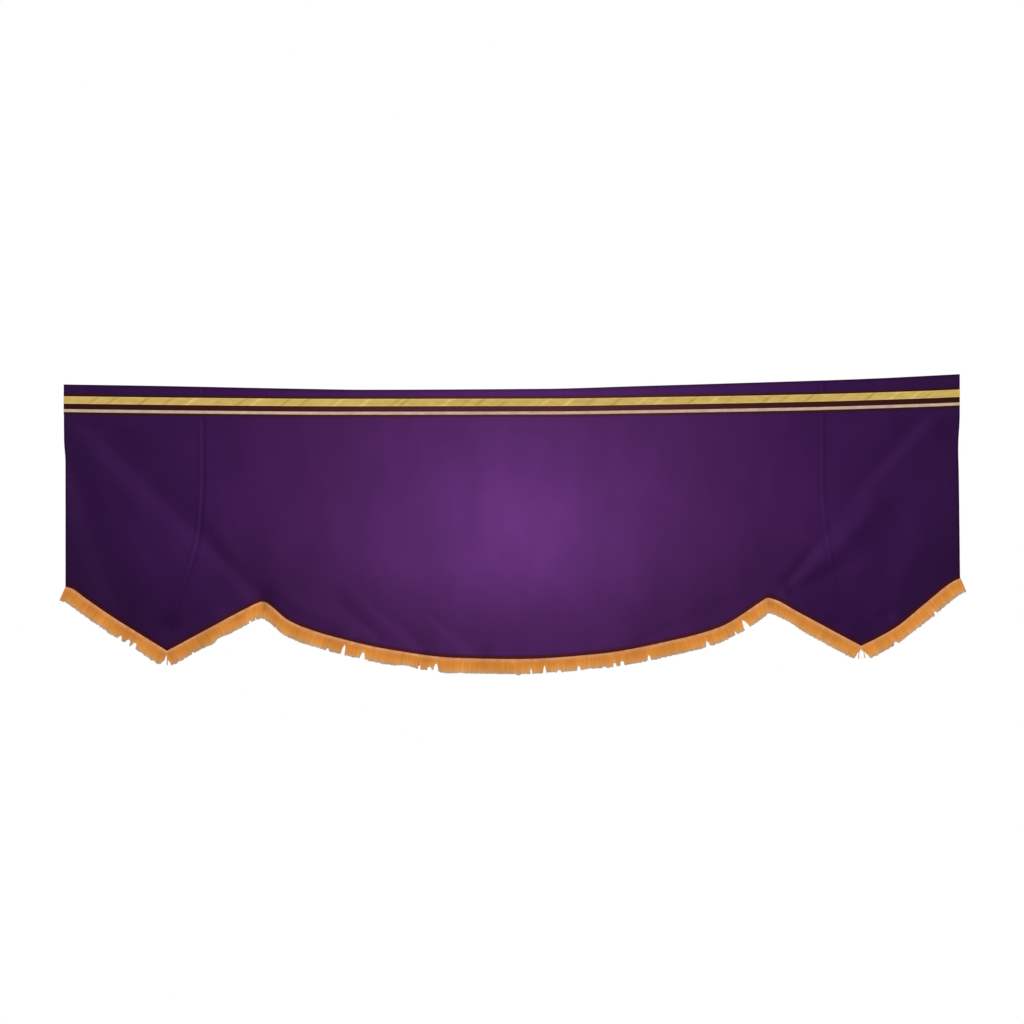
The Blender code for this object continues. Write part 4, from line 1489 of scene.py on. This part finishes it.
# %% Stray yarns
STRAY_YARNS = 3
STRAY_SHORTER = 0.06          # share by which the outer ones are shorter
STRAY_SWAY = 0.0006
STRAY_TONE = 0.3
STRAY_COLOUR_DEPTH = 0.95             # they have the greyer, darker colour of a tip all along


def stray_yarns(stray):
    """A few loose yarns that hang alone in the V below a point."""
    run = Vector((stray.x2 - stray.x1, 0.0, stray.z2 - stray.z1))
    way = run.normalized()
    side = Vector((-way.z, 0.0, way.x))
    yarns = []
    for k in range(STRAY_YARNS):
        root = hem_point(stray.x1)
        root.z = stray.z1
        off = k - (STRAY_YARNS - 1) / 2
        root += side * off * YARN_RADIUS
        yarns.append(Yarn(root, way, side, run.length * (1 - STRAY_SHORTER * abs(off)),
                          STRAY_SWAY * off, drift=0.0, tone=STRAY_TONE, layer=0,
                          worn=STRAY_COLOUR_DEPTH))
    return yarns


print(STRAY_YARNS, "yarns in each stray tuft")

# %% Two layers of yarns
LAYER_SHIFT = 0.25            # share of the pitch by which each layer is set off


def even_places(walk, run):
    """Distances along the hem of yarns that hang side by side, evenly at half their length."""
    count = round(walk.length / PLACE_STEP)
    places = [walk.length * k / count for k in range(count + 1)]
    roots = [heading_place(walk, distance, YARN_ROOT) for distance in places]
    middles = [root + yarn_way(root.x, run) * YARN_LENGTH / 2 for root in roots]
    reaches = [0.0]
    for a, b in zip(middles, middles[1:]):
        reaches.append(reaches[-1] + math.hypot(b.x - a.x, b.z - a.z))
    yarns = round(reaches[-1] / YARN_PITCH)
    distance_at = smooth_curve(list(zip(reaches, places)))
    return [distance_at((k + 0.5) * reaches[-1] / yarns) for k in range(yarns)]


def add_yarns(bm, stretch, run, chance):
    """Two layers of yarns along one stretch, and its stray ones."""
    walk = walks[stretch.name]
    yarns = []
    for stray in STRAYS:
        if stray.stretch == stretch.name:
            yarns += stray_yarns(stray)
    for layer in (-1, 1):
        for distance in even_places(walk, run):
            spot = distance + LAYER_SHIFT * layer * YARN_PITCH
            yarns.append(spin_yarn(walk, run, spot, layer, chance))
    row, each = repeat(yarn_part(), len(yarns))
    depth, tone, twist = new_marks(row, "depth", "tone", "twist")
    for vert in row.vertices:
        yarn = yarns[vert.index // each]
        down = 0.5 - vert.co.z
        depth[vert.index].value = max(down, yarn.worn)
        tone[vert.index].value = yarn.tone
        turns = down * yarn.length / TWIST_PITCH + TWIST_SLANT * vert.co.x / YARN_RADIUS
        twist[vert.index].value = yarn.tone + turns
        vert.co = hang(yarn, vert.co)
    bm.from_mesh(row)
    bpy.data.meshes.remove(row)


print("yarn twist", 1000 * TWIST_PITCH, "mm")


# %% Hang the fringe
def make_fringe(stretch, chance):
    """One length of fringe: heading and yarns, as one piece with two finishes."""
    walk = walks[stretch.name]
    bm = bmesh.new()
    add_heading_strip(bm, walk)
    add_heading_ribs(bm, walk)
    braid = len(bm.faces)
    add_yarns(bm, stretch, smooth_run((stretch.x1 + stretch.x2) / 2), chance)
    bm.faces.ensure_lookup_table()
    for face in bm.faces[braid:]:
        face.material_index = 1
    mesh = to_mesh(bm, stretch.name)
    piece = make_piece(stretch.name, mesh, "fringe", heading_dye, yarn_dye)
    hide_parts(stretch.node)
    return piece


chance = random.Random(YARN_SEED)
fringes = [make_fringe(stretch, chance) for stretch in HEM_STRETCHES]

# %% [markdown]
# ## Sewing
#
# Rows of small stitches hold the banner together: along the hems and beside the seams in
# purple, along each edge of the ribbons and the tape in their own colour, and along the
# edging in wine red. The trims are sewn right through, so their stitches show at the back
# too. A row is given as a line on the outermost face. The line is walked in even steps and
# each stitch is laid along it.

# %% Stitches
STITCH_LENGTH = 0.0032
STITCH_PITCH = 0.0044
STITCH_RADIUS = 0.00028
STITCH_SIDES = 5


def stitch_part():
    """One stitch: a short thread along X, one unit long."""
    part = thin_bar(STITCH_SIDES, STITCH_RADIUS, STITCH_RADIUS)
    lay_down = Vector((1, 0, 0)).to_track_quat("Z", "Y").to_matrix()
    bmesh.ops.rotate(part, verts=part.verts, matrix=lay_down)
    return part


def even_steps(line):
    """Points at the stitch pitch along a line of points, each with the way along."""
    stitches = []
    carried = 0.0
    for a, b in zip(line, line[1:]):
        run = (b - a).length
        way = (b - a) / run
        while carried < run:
            stitches.append((a + way * carried, way))
            carried += STITCH_PITCH
        carried -= run
    return stitches


def make_sewing(name, lines, slot_name, material):
    """All the stitches of one thread, as one piece."""
    stitches = [stitch for line in lines for stitch in even_steps(line)]
    row, each = repeat(stitch_part(), len(stitches))
    for vert in row.vertices:
        centre, way = stitches[vert.index // each]
        up = Vector((-way.z, 0.0, way.x))
        spot = centre + way * vert.co.x * STITCH_LENGTH + up * vert.co.z
        spot.y += vert.co.y
        vert.co = spot
    row.name = name
    return make_piece(name, row, slot_name, material)


print("stitch pitch", 1000 * STITCH_PITCH, "mm")

# %% Stitching lines of the trims
WALK_STEP = 0.010
TRIM_INSET = 0.0018
TRIM_STITCH_START = 0.002     # from the sides of the banner
EDGING_STITCH = 0.3           # share of the edging's width


def back_face(x, z):
    """The outermost face at the back, where the top and the foot are turned over."""
    down = (top_z(x) - z) / (top_z(x) - hem_z(x))
    turned = down < TOP_TURN or down > 1 - FOOT_TURN
    lift = LAYER_GAP + TURNED_THICKNESS if turned else 0.0
    return cloth_back(x, z) + Vector((0.0, lift, 0.0))


def trim_line(trim, from_top, behind):
    """A stitching line along one edge of a trim, on its face or on the back of the cloth."""
    below = trim.drop + TRIM_INSET if from_top else trim.drop + trim.width - TRIM_INSET
    out = CLOTH_THICKNESS / 2 + trim.lift + trim.thickness
    if trim is GOLD_RIBBON:
        out += SATIN_REST
    count = round(2 * HALF_WIDTH / WALK_STEP)
    line = []
    for k in range(count + 1):
        x = between(-HALF_WIDTH + TRIM_STITCH_START, HALF_WIDTH - TRIM_STITCH_START, k / count)
        z = ribbon_z(x) - below
        face = Vector((x, -drape_forward(x, z) - out, z))
        line.append(back_face(x, z) if behind else face)
    return line


def trim_lines(trim):
    """The four lines that sew a trim on: two edges, each seen on both sides of the cloth."""
    return [trim_line(trim, from_top, behind) for from_top in (True, False)
            for behind in (False, True)]


def edging_line(behind):
    """The line that sews edging and fringe to the foot of the cloth."""
    line = [edging_face(point, way, EDGING_STITCH) for point, way in hem_samples(WALK_STEP)]
    return [back_face(spot.x, spot.z) for spot in line] if behind else line


print("trims sewn", 1000 * TRIM_INSET, "mm from their edges")

# %% Stitching lines of the cloth
SIDE_STITCH_RUN = (0.004, 0.985)    # shares of the way down
TOP_STITCH_START = 0.004            # from the sides of the banner
SIDE_STITCH_LEFT = 0.0185
SIDE_STITCH_RIGHT = 0.0285
SEAM_STITCH = 0.0060
TOP_STITCH = 0.0075


def panel_line(panel, offset, from_left):
    """A stitching line down a panel, at a distance from one of its side lines."""
    across = offset / panel_width(panel)
    across = across if from_left else 1 - across
    line = []
    for k in range(CLOTH_ROWS + 1):
        x, z = panel_place(panel, across, between(*SIDE_STITCH_RUN, k / CLOTH_ROWS))
        line.append(cloth_front(x, z))
    return line


def top_line(inset):
    """A stitching line along the top hem."""
    count = round(2 * HALF_WIDTH / WALK_STEP)
    line = []
    for k in range(count + 1):
        x = between(-HALF_WIDTH + TOP_STITCH_START, HALF_WIDTH - TOP_STITCH_START, k / count)
        line.append(cloth_front(x, top_z(x) - inset))
    return line


left_panel, centre_panel, right_panel = PANELS
cloth_lines = [
    top_line(TOP_STITCH),
    panel_line(left_panel, SIDE_STITCH_LEFT, True),
    panel_line(left_panel, SEAM_STITCH, False),
    panel_line(centre_panel, SEAM_STITCH, True),
    panel_line(centre_panel, SEAM_STITCH, False),
    panel_line(right_panel, SEAM_STITCH, True),
    panel_line(right_panel, SIDE_STITCH_RIGHT, False),
]
print(len(cloth_lines), "lines on the cloth")

# %% Threads
THREAD_FUZZ = 120.0
THREAD_SPREAD = 0.15          # share by which a thread's colour goes up and down


def thread_of(name, colour):
    """The finish of a sewing thread, slightly uneven in colour."""
    material, nodes, links, shader = new_material(name, roughness=0.55, specular=0.25, sheen=0.0)
    fuzz = soft_noise(nodes, links, object_place(nodes), THREAD_FUZZ)
    low = tuple((1 - THREAD_SPREAD) * c for c in colour)
    high = tuple((1 + THREAD_SPREAD) * c for c in colour)
    uneven = colour_ramp(nodes, links, fuzz, [(0.35, low), (0.65, high)])
    links.new(uneven, shader.inputs["Base Color"])
    return material


purple_thread, nodes, links, shader = new_material("purple thread", roughness=0.70,
                                                   specular=0.10, sheen=0.0)
# The thread carries the cloth's painted pool of light, a little darker.
glow, place = glow_gradient(nodes, links, GLOW_CENTRE, GLOW_REACH)
purple_with_painted_light = colour_ramp(nodes, links, glow, PURPLE_GLOW)
purple_with_painted_light = tint(nodes, links, purple_with_painted_light, soft_noise(nodes, links, place, THREAD_FUZZ), [
    (0.35, (0.66, 0.66, 0.66)),
    (0.65, (0.88, 0.88, 0.88)),
])
links.new(purple_with_painted_light, shader.inputs["Base Color"])
print("purple thread ready")

# %% Sew
make_sewing("stitches_purple", cloth_lines, "cloth", purple_thread)
for name, lines, slot_name, colour in (
    ("gold", trim_lines(GOLD_RIBBON), "gold_ribbon", (0.560, 0.400, 0.130)),
    ("cream", trim_lines(CREAM_RIBBON), "cream_ribbon", (0.500, 0.360, 0.290)),
    ("maroon", trim_lines(TAPE), "maroon_tape", (0.045, 0.014, 0.012)),
    ("wine", [edging_line(False), edging_line(True)], "maroon_tape", (0.060, 0.009, 0.016)),
):
    make_sewing("stitches_" + name, lines, slot_name, thread_of(name + " thread", colour))

# %% [markdown]
# ## Done
#

print("all pieces made")
